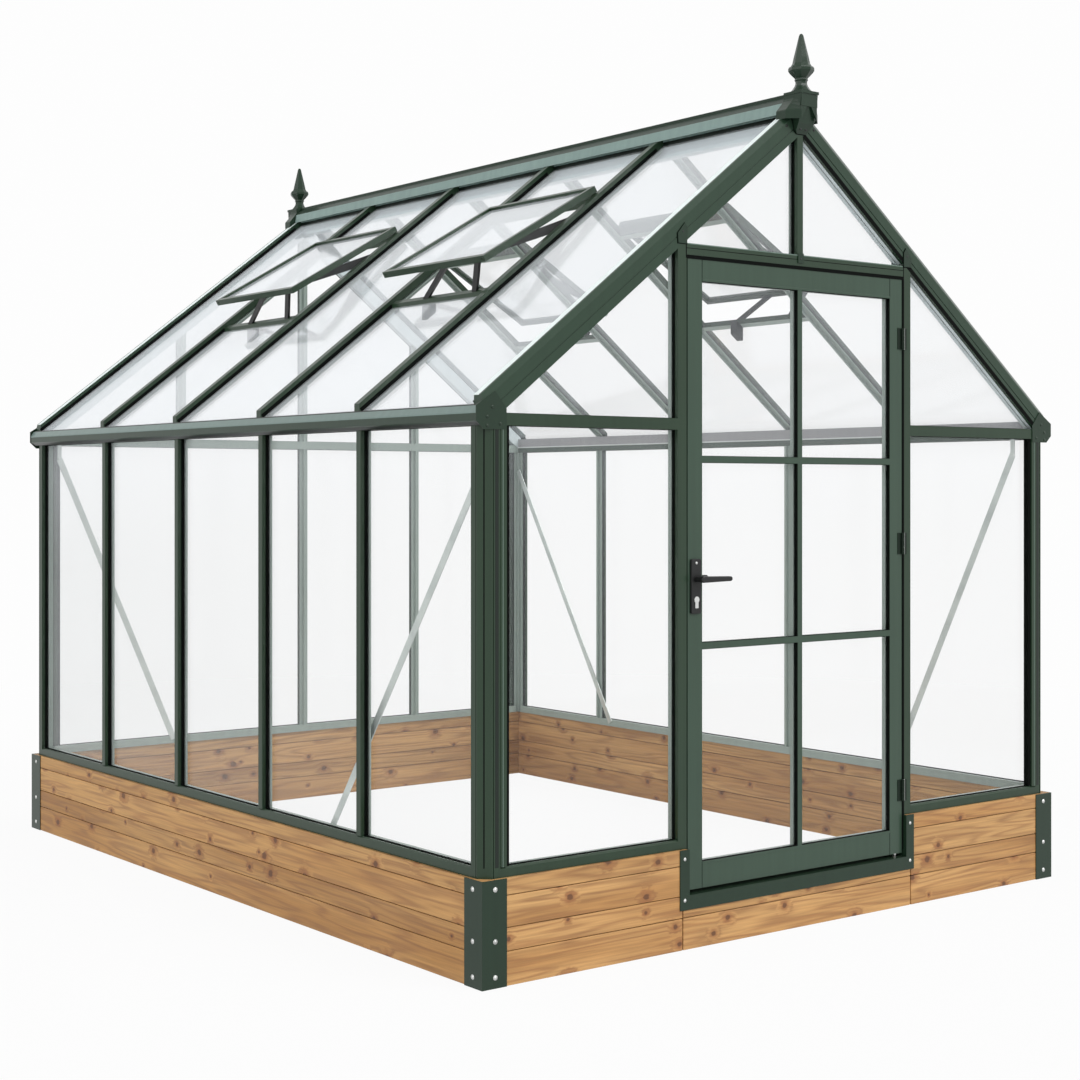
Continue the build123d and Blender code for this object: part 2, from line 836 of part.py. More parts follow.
with BuildPart() as vent_crossbars:
    for centre in vent_centres:
        with BuildSketch(Plane.XZ.offset(-centre)):
            Polygon(
                *slope_strip(vent_hinge_inner, vent_hinge_outer, crossbar_top_drop, slot_bottom),
                align=None,
            )
            Polygon(
                *slope_strip(vent_foot_inner, vent_foot_outer, crossbar_top_drop, slot_bottom),
                align=None,
            )
            strip_outer = vent_hinge_inner + vent_hinge_strip
            Polygon(
                (-vent_hinge_inner, roof_height(vent_hinge_inner, crossbar_top_drop)),
                (-strip_outer, roof_height(strip_outer, crossbar_top_drop)),
                (-strip_outer, vent_underside(strip_outer)),
                (-vent_hinge_inner, vent_underside(vent_hinge_inner)),
                align=None,
            )
        extrude(amount=cap_clear_half, both=True)
    mirror(about=Plane.YZ)
vent_crossbars.part.label = "vent_crossbars"

groove_low = (vent_frame_depth - glass_thickness) / 2 - glass_clearance
groove_high = groove_low + glass_thickness + 2 * glass_clearance
vent_inner_half = vent_half - vent_frame_width
with BuildPart() as vent_stiles:
    for centre in vent_centres:
        with BuildSketch(vent_plane(centre)):
            with Locations((-vent_half, 0)):
                Rectangle(vent_frame_width, vent_length, align=(Align.MIN, Align.MIN))
            with Locations((vent_half, 0)):
                Rectangle(vent_frame_width, vent_length, align=(Align.MAX, Align.MIN))
        extrude(amount=vent_frame_depth)
        with BuildSketch(vent_plane(centre).offset(groove_low)):
            with Locations((0, 0)):
                Rectangle(
                    2 * (vent_inner_half + vent_groove),
                    vent_length,
                    align=(Align.CENTER, Align.MIN),
                )
        extrude(amount=groove_high - groove_low, mode=Mode.SUBTRACT)
    mirror(about=Plane.YZ)
vent_stiles.part.label = "vent_stiles"

with BuildPart() as vent_rails:
    for centre in vent_centres:
        with BuildSketch(vent_plane(centre)):
            Rectangle(2 * vent_inner_half, vent_frame_width, align=(Align.CENTER, Align.MIN))
            with Locations((0, vent_length)):
                Rectangle(2 * vent_inner_half, vent_frame_width, align=(Align.CENTER, Align.MAX))
        extrude(amount=vent_frame_depth)
        with BuildSketch(vent_plane(centre).offset(groove_low)):
            with Locations((0, vent_frame_width - vent_groove)):
                Rectangle(
                    2 * vent_inner_half,
                    vent_length - 2 * (vent_frame_width - vent_groove),
                    align=(Align.CENTER, Align.MIN),
                )
        extrude(amount=groove_high - groove_low, mode=Mode.SUBTRACT)
    mirror(about=Plane.YZ)
vent_rails.part.label = "vent_rails"

with BuildPart() as vent_glass:
    for centre in vent_centres:
        with BuildSketch(vent_plane(centre).offset(groove_low + glass_clearance)):
            with Locations((0, vent_frame_width - vent_groove + glass_clearance)):
                Rectangle(
                    2 * (vent_inner_half + vent_groove - glass_clearance),
                    vent_length - 2 * (vent_frame_width - vent_groove + glass_clearance),
                    align=(Align.CENTER, Align.MIN),
                )
        extrude(amount=glass_thickness)
    mirror(about=Plane.YZ)
vent_glass.part.label = "vent_glass"

# Vent openers, black: a slanting arm and a strut from the lower crossbar to the foot of the
# vent, a base that hangs below the crossbar, and a stay from the bar to the side of the vent
arm_head_reach = vent_hinge_inner + (vent_length - vent_frame_width / 2) * math.cos(vent_angle)
arm_foot_height = roof_height(vent_foot_reach, crossbar_top_drop)
arm_head_height = vent_underside(arm_head_reach)
arm_rise = math.hypot(arm_head_reach - vent_foot_reach, arm_head_height - arm_foot_height)
arm_lean = (arm_head_reach - vent_foot_reach) / arm_rise
arm_lift = (arm_head_height - arm_foot_height) / arm_rise
opener_arms = (
    (opener_arm_foot, opener_arm_head, opener_arm_width / 2),
    (opener_strut_foot, opener_strut_head, opener_strut_width / 2),
)
with BuildPart() as vent_openers:
    for centre in vent_centres:
        for foot, head, half in opener_arms:
            slant = 2 * (head - foot)
            arm_plane = Plane(
                origin=(-vent_foot_reach, centre + foot, arm_foot_height),
                x_dir=(0, 1, 0),
                z_dir=(-arm_lift, 0, -arm_lean),
            )
            with BuildSketch(arm_plane):
                Polygon(
                    (slant - half, -2 * arm_rise),
                    (slant + half, -2 * arm_rise),
                    (-slant + half, 2 * arm_rise),
                    (-slant - half, 2 * arm_rise),
                    align=None,
                )
            extrude(amount=opener_arm_thickness / 2, both=True)
    with BuildSketch(Plane.XZ.offset(half_length)):
        Polygon(
            (-vent_foot_inner, roof_height(vent_foot_inner, crossbar_top_drop)),
            (-vent_foot_outer, roof_height(vent_foot_outer, crossbar_top_drop)),
            (-arm_head_reach - vent_frame_width, vent_underside(arm_head_reach + vent_frame_width)),
            (-arm_head_reach + vent_frame_width, vent_underside(arm_head_reach - vent_frame_width)),
            align=None,
        )
    extrude(amount=-2 * half_length, mode=Mode.INTERSECT)
    for centre in vent_centres:
        with BuildSketch(Plane.XZ.offset(-centre - opener_arm_foot)):
            Polygon(
                *slope_strip(
                    vent_foot_outer - opener_base_length,
                    vent_foot_outer,
                    slot_bottom,
                    slot_bottom + opener_base_height,
                ),
                align=None,
            )
        extrude(amount=opener_arm_width / 2, both=True)
        stay_side = centre - cap_clear_half
        with BuildSketch(Plane.XZ.offset(-stay_side)):
            Polygon(
                (-stay_head_reach, vent_underside(stay_head_reach)),
                (-stay_bend_reach, vent_underside(stay_bend_reach)),
                (-stay_foot_reach, roof_height(stay_foot_reach, cap_corner)),
                (-stay_foot_reach, roof_height(stay_foot_reach, stay_height)),
                align=None,
            )
        extrude(amount=-stay_thickness)
    mirror(about=Plane.YZ)
vent_openers.part.label = "vent_openers"

# Glass of the side walls: panes run into the grooves of rails, beams, bars and posts
end_pane_edge = half_length - post_width + glass_inset
wall_glass_foot = rail_top - glass_inset
wall_glass_height = eaves_height + glass_inset - wall_glass_foot


def pane_edges(lines, number, end_edge):
    """Two edges of a pane between glazing lines; the end panes run into the posts."""
    start = -end_edge if number == 0 else lines[number] + web_edge
    end = end_edge if number == len(lines) - 2 else lines[number + 1] - web_edge
    return start, end


with BuildPart() as left_wall_glass:
    for number in range(wall_bay_count):
        start, end = pane_edges(wall_lines, number, end_pane_edge)
        with BuildSketch(Plane.XY.offset(wall_glass_foot)):
            with Locations((-half_width + glass_top, start)):
                Rectangle(glass_thickness, end - start, align=(Align.MIN, Align.MIN))
        extrude(amount=wall_glass_height)
left_wall_glass.part.label = "left_wall_glass"

with BuildPart() as right_wall_glass:
    mirror(left_wall_glass.part, about=Plane.YZ)
right_wall_glass.part.label = "right_wall_glass"

# Glass of the back gable: a row below the transoms and a row under the rafters
gable_end_edge = half_width - post_width + glass_inset
upper_glass_foot = transom_top - glass_inset
rafter_glass_drop = rafter_height - glass_inset
with BuildPart() as back_gable_glass:
    for number in range(gable_bay_count):
        start, end = pane_edges(gable_lines, number, gable_end_edge)
        with BuildSketch(Plane.XZ.offset(-half_length + glass_top)):
            with Locations((start, wall_glass_foot)):
                Rectangle(end - start, wall_glass_height, align=(Align.MIN, Align.MIN))
        extrude(amount=glass_thickness)
        corner_reach_top = reach_at(upper_glass_foot, rafter_glass_drop)
        if number == 0:
            start = -corner_reach_top
        if number == gable_bay_count - 1:
            end = corner_reach_top
        with BuildSketch(Plane.XZ.offset(-half_length + glass_top)):
            corners = [(start, upper_glass_foot), (end, upper_glass_foot)]
            if number < gable_bay_count - 1:
                corners.append((end, roof_height(end, rafter_glass_drop)))
            if number > 0:
                corners.append((start, roof_height(start, rafter_glass_drop)))
            Polygon(*corners, align=None)
        extrude(amount=glass_thickness)
back_gable_glass.part.label = "back_gable_glass"

# Glass of the front gable: beside the door, above the transoms and over the header
door_side_edge = door_post_outer - glass_inset
header_glass_foot = header_top - glass_inset
peak_corner = reach_at(header_glass_foot, rafter_glass_drop)
with BuildPart() as front_gable_glass:
    with BuildSketch(Plane.XZ.offset(half_length - glass_top)):
        Polygon(
            (-gable_end_edge, wall_glass_foot),
            (-door_side_edge, wall_glass_foot),
            (-door_side_edge, wall_glass_foot + wall_glass_height),
            (-gable_end_edge, wall_glass_foot + wall_glass_height),
            align=None,
        )
        Polygon(
            (-reach_at(upper_glass_foot, rafter_glass_drop), upper_glass_foot),
            (-door_side_edge, upper_glass_foot),
            (-door_side_edge, roof_height(door_side_edge, rafter_glass_drop)),
            align=None,
        )
        Polygon(
            (-half_opening + glass_clearance, header_glass_foot),
            (-web_edge, header_glass_foot),
            (-web_edge, roof_height(web_edge, rafter_glass_drop)),
            (
                -half_opening + glass_clearance,
                max(
                    roof_height(half_opening - glass_clearance, rafter_glass_drop),
                    header_glass_foot + glass_clearance,
                ),
            ),
            align=None,
        )
    extrude(amount=-glass_thickness)
    mirror(about=Plane.YZ)
front_gable_glass.part.label = "front_gable_glass"

# Glass of the left slope; in a vent bay one pane lies above the vent and one below
roof_glass_foot = half_width + glass_overhang
roof_glass_head = web_half + glass_clearance
roof_end_edge = half_length - bar_depth + slot_depth - glass_clearance
with BuildPart() as left_roof_glass:
    for number in range(wall_bay_count):
        start, end = pane_edges(wall_lines, number, roof_end_edge)
        if number in vent_bays:
            spans = [
                (roof_glass_head, vent_hinge_inner - glass_clearance),
                (vent_foot_outer + glass_clearance, roof_glass_foot),
            ]
        else:
            spans = [(roof_glass_head, roof_glass_foot)]
        for x_inner, x_outer in spans:
            with BuildSketch(Plane.XZ.offset(-start)):
                Polygon(*slope_strip(x_inner, x_outer, glass_top, glass_bottom), align=None)
            extrude(amount=-(end - start))
left_roof_glass.part.label = "left_roof_glass"

with BuildPart() as right_roof_glass:
    mirror(left_roof_glass.part, about=Plane.YZ)
right_roof_glass.part.label = "right_roof_glass"

# Wind braces inside the walls: each runs from the eaves down to the base rail; the ones that
# stand clear of the post hang from a short strap on the eaves beam or transom
brace_plane_depth = bar_depth
brace_top = eaves_height - brace_top_drop
brace_high_top = eaves_height - brace_high_drop
brace_foot = rail_top - brace_foot_drop


def brace_corners(top_at, top_height, foot_at):
    """Corners of a flat brace between its top and its foot on the base rail."""
    run = foot_at - top_at
    rise = top_height - brace_foot
    length = math.hypot(run, rise)
    across = brace_width / 2 * rise / length
    along = brace_width / 2 * abs(run) / length
    side = 1 if run > 0 else -1
    return [
        (top_at - across * side, top_height - along),
        (top_at + across * side, top_height + along),
        (foot_at + across * side, brace_foot + along),
        (foot_at - across * side, brace_foot - along),
    ]


def hanger_corners(top_at):
    """Corners of the strap between a high brace and the beam above it."""
    return [
        (top_at - hanger_width / 2, brace_high_top),
        (top_at + hanger_width / 2, brace_high_top),
        (top_at + hanger_width / 2, eaves_height + hanger_lap),
        (top_at - hanger_width / 2, eaves_height + hanger_lap),
    ]


brace_post_y = half_length - flange_end - brace_width / 2 - brace_post_margin
brace_right_y = half_length - brace_right_inset
brace_back_x = half_width - brace_high_inset
with BuildPart() as wind_braces:
    with BuildSketch(Plane.YZ.offset(-half_width + brace_plane_depth)):
        Polygon(*brace_corners(-brace_post_y, brace_top, near_brace_run - brace_post_y), align=None)
    extrude(amount=brace_thickness)
    with BuildSketch(Plane.YZ.offset(half_width - brace_plane_depth)):
        Polygon(
            *brace_corners(-brace_right_y, brace_high_top, right_brace_run - brace_right_y),
            align=None,
        )
        Polygon(*hanger_corners(-brace_right_y), align=None)
        Polygon(*brace_corners(brace_post_y, brace_top, brace_post_y - far_brace_run), align=None)
    extrude(amount=-brace_thickness)
    with BuildSketch(Plane.XZ.offset(-half_length + brace_plane_depth)):
        Polygon(
            *brace_corners(-brace_back_x, brace_high_top, back_brace_run - brace_back_x),
            align=None,
        )
        Polygon(*hanger_corners(-brace_back_x), align=None)
    extrude(amount=brace_thickness)
wind_braces.part.label = "wind_braces"

# Door leaf: stiles with a groove for the glass, the left one drilled for spindle and lock
door_groove_front = leaf_front + (door_thickness - glass_thickness) / 2 - glass_clearance
door_groove_back = door_groove_front + glass_thickness + 2 * glass_clearance
handle_x = leaf_left + handle_inset
lock_height_centre = handle_height - lock_drop
leaf_height = leaf_top - door_foot_height


def stile_outline(edge, side):
    """Corners of a stile in plan: `side` is 1 where the glass lies towards +X."""
    inner = edge + side * stile_width
    return [
        (edge, leaf_front),
        (inner, leaf_front),
        (inner, door_groove_front),
        (inner - side * door_groove_depth, door_groove_front),
        (inner - side * door_groove_depth, door_groove_back),
        (inner, door_groove_back),
        (inner, leaf_back),
        (edge, leaf_back),
    ]


with BuildPart() as door_stiles:
    with BuildSketch(Plane.XY.offset(door_foot_height)):
        Polygon(*stile_outline(leaf_left, 1), align=None)
        Polygon(*stile_outline(leaf_right, -1), align=None)
    extrude(amount=leaf_height)
    with BuildSketch(Plane.XZ.offset(-leaf_front)):
        with Locations((handle_x, handle_height)):
            Circle(spindle_radius + spindle_clearance)
        with Locations((handle_x, lock_height_centre)):
            Circle(lock_radius + lock_clearance)
            Rectangle(
                lock_stem_width + 2 * lock_clearance,
                lock_height - lock_radius + lock_clearance,
                align=(Align.CENTER, Align.MAX),
            )
    extrude(amount=-door_thickness, mode=Mode.SUBTRACT)
door_stiles.part.label = "door_stiles"

# Door rails
glass_left = leaf_left + stile_width
glass_right = leaf_right - stile_width
bottom_rail_top = door_foot_height + bottom_rail_height
top_rail_bottom = leaf_top - top_rail_height
with BuildPart() as door_rails:
    with BuildSketch(Plane.YZ.offset(glass_left)):
        Polygon(
            (leaf_front, door_foot_height),
            (leaf_front, bottom_rail_top),
            (door_groove_front, bottom_rail_top),
            (door_groove_front, bottom_rail_top - door_groove_depth),
            (door_groove_back, bottom_rail_top - door_groove_depth),
            (door_groove_back, bottom_rail_top),
            (leaf_back, bottom_rail_top),
            (leaf_back, door_foot_height),
            align=None,
        )
        Polygon(
            (leaf_front, leaf_top),
            (leaf_front, top_rail_bottom),
            (door_groove_front, top_rail_bottom),
            (door_groove_front, top_rail_bottom + door_groove_depth),
            (door_groove_back, top_rail_bottom + door_groove_depth),
            (door_groove_back, top_rail_bottom),
            (leaf_back, top_rail_bottom),
            (leaf_back, leaf_top),
            align=None,
        )
    extrude(amount=glass_right - glass_left)
door_rails.part.label = "door_rails"

# Door bars: one upright from rail to rail, and two rows of cross bars beside it
bar_half = door_bar_width / 2
bar_web_half = door_bar_web / 2
door_bar_outline = [
    (-bar_half, leaf_front),
    (bar_half, leaf_front),
    (bar_half, door_groove_front),
    (bar_web_half, door_groove_front),
    (bar_web_half, door_groove_back),
    (bar_half, door_groove_back),
    (bar_half, leaf_back),
    (-bar_half, leaf_back),
    (-bar_half, door_groove_back),
    (-bar_web_half, door_groove_back),
    (-bar_web_half, door_groove_front),
    (-bar_half, door_groove_front),
]
with BuildPart() as door_upright_bar:
    with BuildSketch(Plane.XY.offset(bottom_rail_top)):
        Polygon(*[(leaf_middle + x, y) for x, y in door_bar_outline], align=None)
    extrude(amount=top_rail_bottom - bottom_rail_top)
door_upright_bar.part.label = "door_upright_bar"

with BuildPart() as door_cross_bars:
    for height in (door_bar_lower_height, door_bar_upper_height):
        for left_end, right_end in (
            (glass_left, leaf_middle - bar_half),
            (leaf_middle + bar_half, glass_right),
        ):
            with BuildSketch(Plane.YZ.offset(left_end)):
                Polygon(*[(y, height + x) for x, y in door_bar_outline], align=None)
            extrude(amount=right_end - left_end)
door_cross_bars.part.label = "door_cross_bars"

# Door glass, six panes
pane_sides = [
    (glass_left - door_groove_depth + glass_clearance, leaf_middle - bar_web_half - glass_clearance),
    (leaf_middle + bar_web_half + glass_clearance, glass_right + door_groove_depth - glass_clearance),
]
pane_rows = [
    (
        bottom_rail_top - door_groove_depth + glass_clearance,
        door_bar_lower_height - bar_web_half - glass_clearance,
    ),
    (
        door_bar_lower_height + bar_web_half + glass_clearance,
        door_bar_upper_height - bar_web_half - glass_clearance,
    ),
    (
        door_bar_upper_height + bar_web_half + glass_clearance,
        top_rail_bottom + door_groove_depth - glass_clearance,
    ),
]
with BuildPart() as door_glass:
    with BuildSketch(Plane.XZ.offset(-door_groove_front - glass_clearance)):
        for left_edge, right_edge in pane_sides:
            for low_edge, high_edge in pane_rows:
                with Locations((left_edge, low_edge)):
                    Rectangle(
                        right_edge - left_edge, high_edge - low_edge, align=(Align.MIN, Align.MIN)
                    )
    extrude(amount=-glass_thickness)
door_glass.part.label = "door_glass"

# Hinges: each has a knuckle on the leaf between two knuckles on the post
hinge_x = leaf_right - hinge_inset
hinge_y = leaf_front - hinge_proud
hinge_heights = [hinge_lower_height, hinge_middle_height, hinge_upper_height]
knuckle_length = hinge_height / 3
leaf_knuckle_length = knuckle_length - 2 * knuckle_gap
knuckle_face_gap = hinge_proud - knuckle_radius
with BuildPart() as leaf_hinges:
    for height in hinge_heights:
        with BuildSketch(Plane.XZ.offset(-leaf_front)):
            with Locations((hinge_x - knuckle_radius - knuckle_face_gap, height)):
                Rectangle(hinge_plate_width, hinge_height, align=(Align.MAX, Align.CENTER))
        extrude(amount=hinge_plate_thickness)
        with BuildSketch(Plane.XY.offset(height - leaf_knuckle_length / 2)):
            with Locations((hinge_x, hinge_y)):
                Circle(knuckle_radius)
            with Locations((hinge_x, leaf_front - knuckle_face_gap)):
                Rectangle(
                    knuckle_radius + 2 * hinge_plate_thickness,
                    hinge_plate_thickness - knuckle_face_gap,
                    align=(Align.MAX, Align.MAX),
                )
            with Locations((hinge_x, hinge_y)):
                Circle(hinge_pin_radius + hinge_pin_clearance, mode=Mode.SUBTRACT)
        extrude(amount=leaf_knuckle_length)
leaf_hinges.part.label = "leaf_hinges"

with BuildPart() as post_hinges:
    for height in hinge_heights:
        with BuildSketch(Plane.XZ.offset(half_length)):
            with Locations((half_opening, height)):
                Rectangle(hinge_plate_width, hinge_height, align=(Align.MIN, Align.CENTER))
        extrude(amount=hinge_plate_thickness)
        for foot in (height - hinge_height / 2, height + hinge_height / 2 - knuckle_length):
            with BuildSketch(Plane.XY.offset(foot)):
                with Locations((hinge_x, hinge_y)):
                    Circle(knuckle_radius)
                with Locations((hinge_x, -half_length)):
                    Rectangle(
                        half_opening - hinge_x + hinge_plate_thickness,
                        hinge_plate_thickness,
                        align=(Align.MIN, Align.MAX),
                    )
            extrude(amount=knuckle_length)
        with BuildSketch(Plane.XY.offset(height - hinge_height / 2)):
            with Locations((hinge_x, hinge_y)):
                Circle(hinge_pin_radius)
        extrude(amount=hinge_height)
post_hinges.part.label = "post_hinges"

# Handle plates on both faces of the latch stile
plate_height = handle_plate_above + handle_plate_below
plate_centre = handle_height + (handle_plate_above - handle_plate_below) / 2
leaf_centre_y = (leaf_front + leaf_back) / 2
with BuildPart() as handle_plates:
    with BuildSketch(Plane.XZ.offset(-leaf_front)):
        with Locations((handle_x, plate_centre)):
            RectangleRounded(handle_plate_width, plate_height, handle_plate_corner)
        with Locations((handle_x, handle_height)):
            Circle(spindle_radius + spindle_clearance, mode=Mode.SUBTRACT)
        with Locations((handle_x, lock_height_centre)):
            Circle(lock_radius + lock_clearance, mode=Mode.SUBTRACT)
            Rectangle(
                lock_stem_width + 2 * lock_clearance,
                lock_height - lock_radius + lock_clearance,
                align=(Align.CENTER, Align.MAX),
                mode=Mode.SUBTRACT,
            )
    extrude(amount=handle_plate_thickness)
    chamfer(handle_plates.faces().sort_by(Axis.Y)[0].outer_wire().edges(), length=plate_bevel)
    mirror(about=Plane.XZ.offset(-leaf_centre_y))
handle_plates.part.label = "handle_plates"

# Lock cylinder through the leaf, with a collar on each plate
lock_front = leaf_front - handle_plate_thickness - lock_collar
with BuildPart() as lock_cylinder:
    with BuildSketch(Plane.XZ.offset(-lock_front)):
        with Locations((handle_x, lock_height_centre)):
            Circle(lock_radius)
            Rectangle(
                lock_stem_width, lock_height - lock_radius, align=(Align.CENTER, Align.MAX)
            )
    extrude(amount=-2 * (leaf_centre_y - lock_front))
    with BuildSketch(Plane.XZ.offset(-lock_front)):
        with Locations((handle_x, lock_height_centre)):
            Circle(lock_radius + lock_collar)
            Rectangle(
                lock_stem_width + 2 * lock_collar,
                lock_height - lock_radius + lock_collar,
                align=(Align.CENTER, Align.MAX),
            )
    extrude(amount=-lock_collar)
    mirror(about=Plane.XZ.offset(-leaf_centre_y))
lock_cylinder.part.label = "lock_cylinder"

# Lever handles on one spindle, pointing away from the latch edge
neck_foot_y = leaf_front - handle_plate_thickness - lever_plate_gap
lever_back = neck_foot_y - lever_neck_length
with BuildPart() as lever_handles:
    with BuildSketch(Plane.XZ.offset(-neck_foot_y)):
        with Locations((handle_x, handle_height)):
            Circle(lever_neck_radius)
    extrude(amount=lever_neck_length + lever_thickness / 2)
    with BuildSketch(Plane.XZ.offset(-lever_back)):
        with Locations((handle_x, handle_height)):
            Circle(lever_width / 2)
        with Locations((handle_x + lever_length - lever_tip_width / 2, handle_height)):
            Circle(lever_tip_width / 2)
        make_hull()
    extrude(amount=lever_thickness)
    fillet(lever_handles.faces().sort_by(Axis.Y)[0].edges(), radius=lever_edge_radius)
    mirror(about=Plane.XZ.offset(-leaf_centre_y))
    with BuildSketch(Plane.XZ.offset(-neck_foot_y)):
        with Locations((handle_x, handle_height)):
            Circle(spindle_radius)
    extrude(amount=-2 * (leaf_centre_y - neck_foot_y))
lever_handles.part.label = "lever_handles"

# Write every part to its own file
all_parts = [
    plinth_sides,
    plinth_back,
    plinth_front,
    door_step,
    plinth_angles,
    door_sill,
    corner_posts,
    base_rails,
    wall_bars,
    back_bars,
    door_posts,
    door_header,
    peak_mullion,
    front_transoms,
    back_transoms,
    left_rafters,
    right_rafters,
    eaves_beams,
    gutters,
    eaves_end_plates,
    ridge,
    ridge_finials,
    roof_bars,
    vent_crossbars,
    vent_stiles,
    vent_rails,
    vent_glass,
    vent_openers,
    left_wall_glass,
    right_wall_glass,
    back_gable_glass,
    front_gable_glass,
    left_roof_glass,
    right_roof_glass,
    wind_braces,
    post_hinges,
    door_stiles,
    door_rails,
    door_upright_bar,
    door_cross_bars,
    door_glass,
    leaf_hinges,
    handle_plates,
    lock_cylinder,
    lever_handles,
]
os.makedirs("parts", exist_ok=True)
for item in all_parts:
    export_step(item.part, "parts/" + item.part.label + ".step")
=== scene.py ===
"""Looks of the metal greenhouse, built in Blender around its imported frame.

Metres throughout. X runs across the gables, Y along the ridge, Z up, and the door gable faces -Y.
Each sub-assembly is a class that makes its own pieces and says which body they ride on.
"""

import logging
import math
from dataclasses import dataclass, replace
from enum import Enum
from typing import Iterable, Mapping, Sequence

import bpy
from mathutils import Euler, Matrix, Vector

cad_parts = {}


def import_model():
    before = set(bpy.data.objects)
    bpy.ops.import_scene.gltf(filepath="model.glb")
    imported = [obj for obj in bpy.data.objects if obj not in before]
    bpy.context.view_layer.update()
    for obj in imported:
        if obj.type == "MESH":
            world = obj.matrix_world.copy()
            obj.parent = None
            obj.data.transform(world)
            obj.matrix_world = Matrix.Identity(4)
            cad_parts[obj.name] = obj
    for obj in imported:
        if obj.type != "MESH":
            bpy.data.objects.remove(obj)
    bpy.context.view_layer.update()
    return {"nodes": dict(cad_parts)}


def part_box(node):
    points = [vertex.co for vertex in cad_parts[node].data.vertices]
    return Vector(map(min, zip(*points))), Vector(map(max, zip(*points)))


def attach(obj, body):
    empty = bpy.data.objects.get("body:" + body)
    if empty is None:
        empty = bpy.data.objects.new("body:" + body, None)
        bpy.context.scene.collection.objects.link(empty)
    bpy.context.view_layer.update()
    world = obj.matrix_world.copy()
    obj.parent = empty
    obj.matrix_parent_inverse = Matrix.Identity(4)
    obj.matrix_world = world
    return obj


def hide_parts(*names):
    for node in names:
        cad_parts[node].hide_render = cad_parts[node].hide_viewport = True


LOG = logging.getLogger("greenhouse")
Triple = tuple[float, float, float]
Span = tuple[float, float]
Colour = tuple[float, float, float, float]

ROOF_PITCH = math.radians(37.75)
CORNERS = ((-1, -1), (1, -1), (1, 1), (-1, 1))


class Body(Enum):
    """Bodies of the frame that pieces ride on."""

    GREENHOUSE = "greenhouse"
    DOOR = "door"


class Slot(Enum):
    """Names of material slots that the added pieces are listed with."""

    TIMBER = "timber"
    FRAME = "green_frame"
    METALWORK = "green_metalwork"
    BLACK = "black_metal"
    HINGE = "hinge_metal"


class Face(Enum):
    """Walls of the building: the axis that each stands across, 0 for X or 1 for Y, and its side."""

    LEFT = (0, -1)
    RIGHT = (0, 1)
    FRONT = (1, -1)
    BACK = (1, 1)


class Grain(Enum):
    """Direction in which the grain of a board runs."""

    ACROSS = "across"
    ALONG = "along"


def paint(red: int, green: int, blue: int) -> Colour:
    """Turns a colour written as 0 to 255 into the linear colour that a shader takes.

    Args:
        red: Red, 0 to 255.
        green: Green, 0 to 255.
        blue: Blue, 0 to 255.

    Returns:
        The colour with full alpha.
    """
    def linear(level: int) -> float:
        """Takes the display curve off one channel."""
        share = level / 255
        return share / 12.92 if share <= 0.04045 else ((share + 0.055) / 1.055) ** 2.4

    return (linear(red), linear(green), linear(blue), 1.0)


# Node trees


class Signal:
    """A number that flows between nodes, and takes part in Python expressions."""

    def __init__(self, wiring: "Wiring", socket: bpy.types.NodeSocket) -> None:
        """Keeps the socket and the tree that it is in."""
        self.wiring = wiring
        self.socket = socket

    def maths(self, operation: str, *others: object, clamp: bool = False) -> "Signal":
        """Adds a Math node.

        Args:
            operation: The node's operation.
            *others: Its other values, numbers or signals.
            clamp: Whether the result stays between 0 and 1.

        Returns:
            The result.
        """
        return self.wiring.maths(operation, self, *others, clamp=clamp)

    def __add__(self, other: object) -> "Signal":
        """Sum."""
        return self.maths("ADD", other)

    __radd__ = __add__

    def __sub__(self, other: object) -> "Signal":
        """Difference."""
        return self.maths("SUBTRACT", other)

    def __rsub__(self, other: object) -> "Signal":
        """Difference from a number."""
        return self.wiring.maths("SUBTRACT", other, self)

    def __mul__(self, other: object) -> "Signal":
        """Product."""
        return self.maths("MULTIPLY", other)

    __rmul__ = __mul__

    def __truediv__(self, other: object) -> "Signal":
        """Quotient."""
        return self.maths("DIVIDE", other)

    def __pow__(self, other: object) -> "Signal":
        """Power."""
        return self.maths("POWER", other)

    def above(self, level: float) -> "Signal":
        """One where the signal is above a level, and nought elsewhere."""
        return self.maths("GREATER_THAN", level)

    def magnitude(self) -> "Signal":
        """The signal without its sign."""
        return self.maths("ABSOLUTE")

    def held(self) -> "Signal":
        """The signal kept between 0 and 1."""
        return self.maths("ADD", 0.0, clamp=True)

    def faded(self, start: float, end: float) -> "Signal":
        """Runs smoothly from 0 at one level to 1 at another.

        Args:
            start: Level that gives 0.
            end: Level that gives 1.

        Returns:
            The faded signal.
        """
        node = self.wiring.add(
            "ShaderNodeMapRange",
            {"interpolation_type": "SMOOTHSTEP", "clamp": True},
            {"Value": self, "From Min": start, "From Max": end, "To Min": 0.0, "To Max": 1.0},
        )
        return Signal(self.wiring, node.outputs[0])


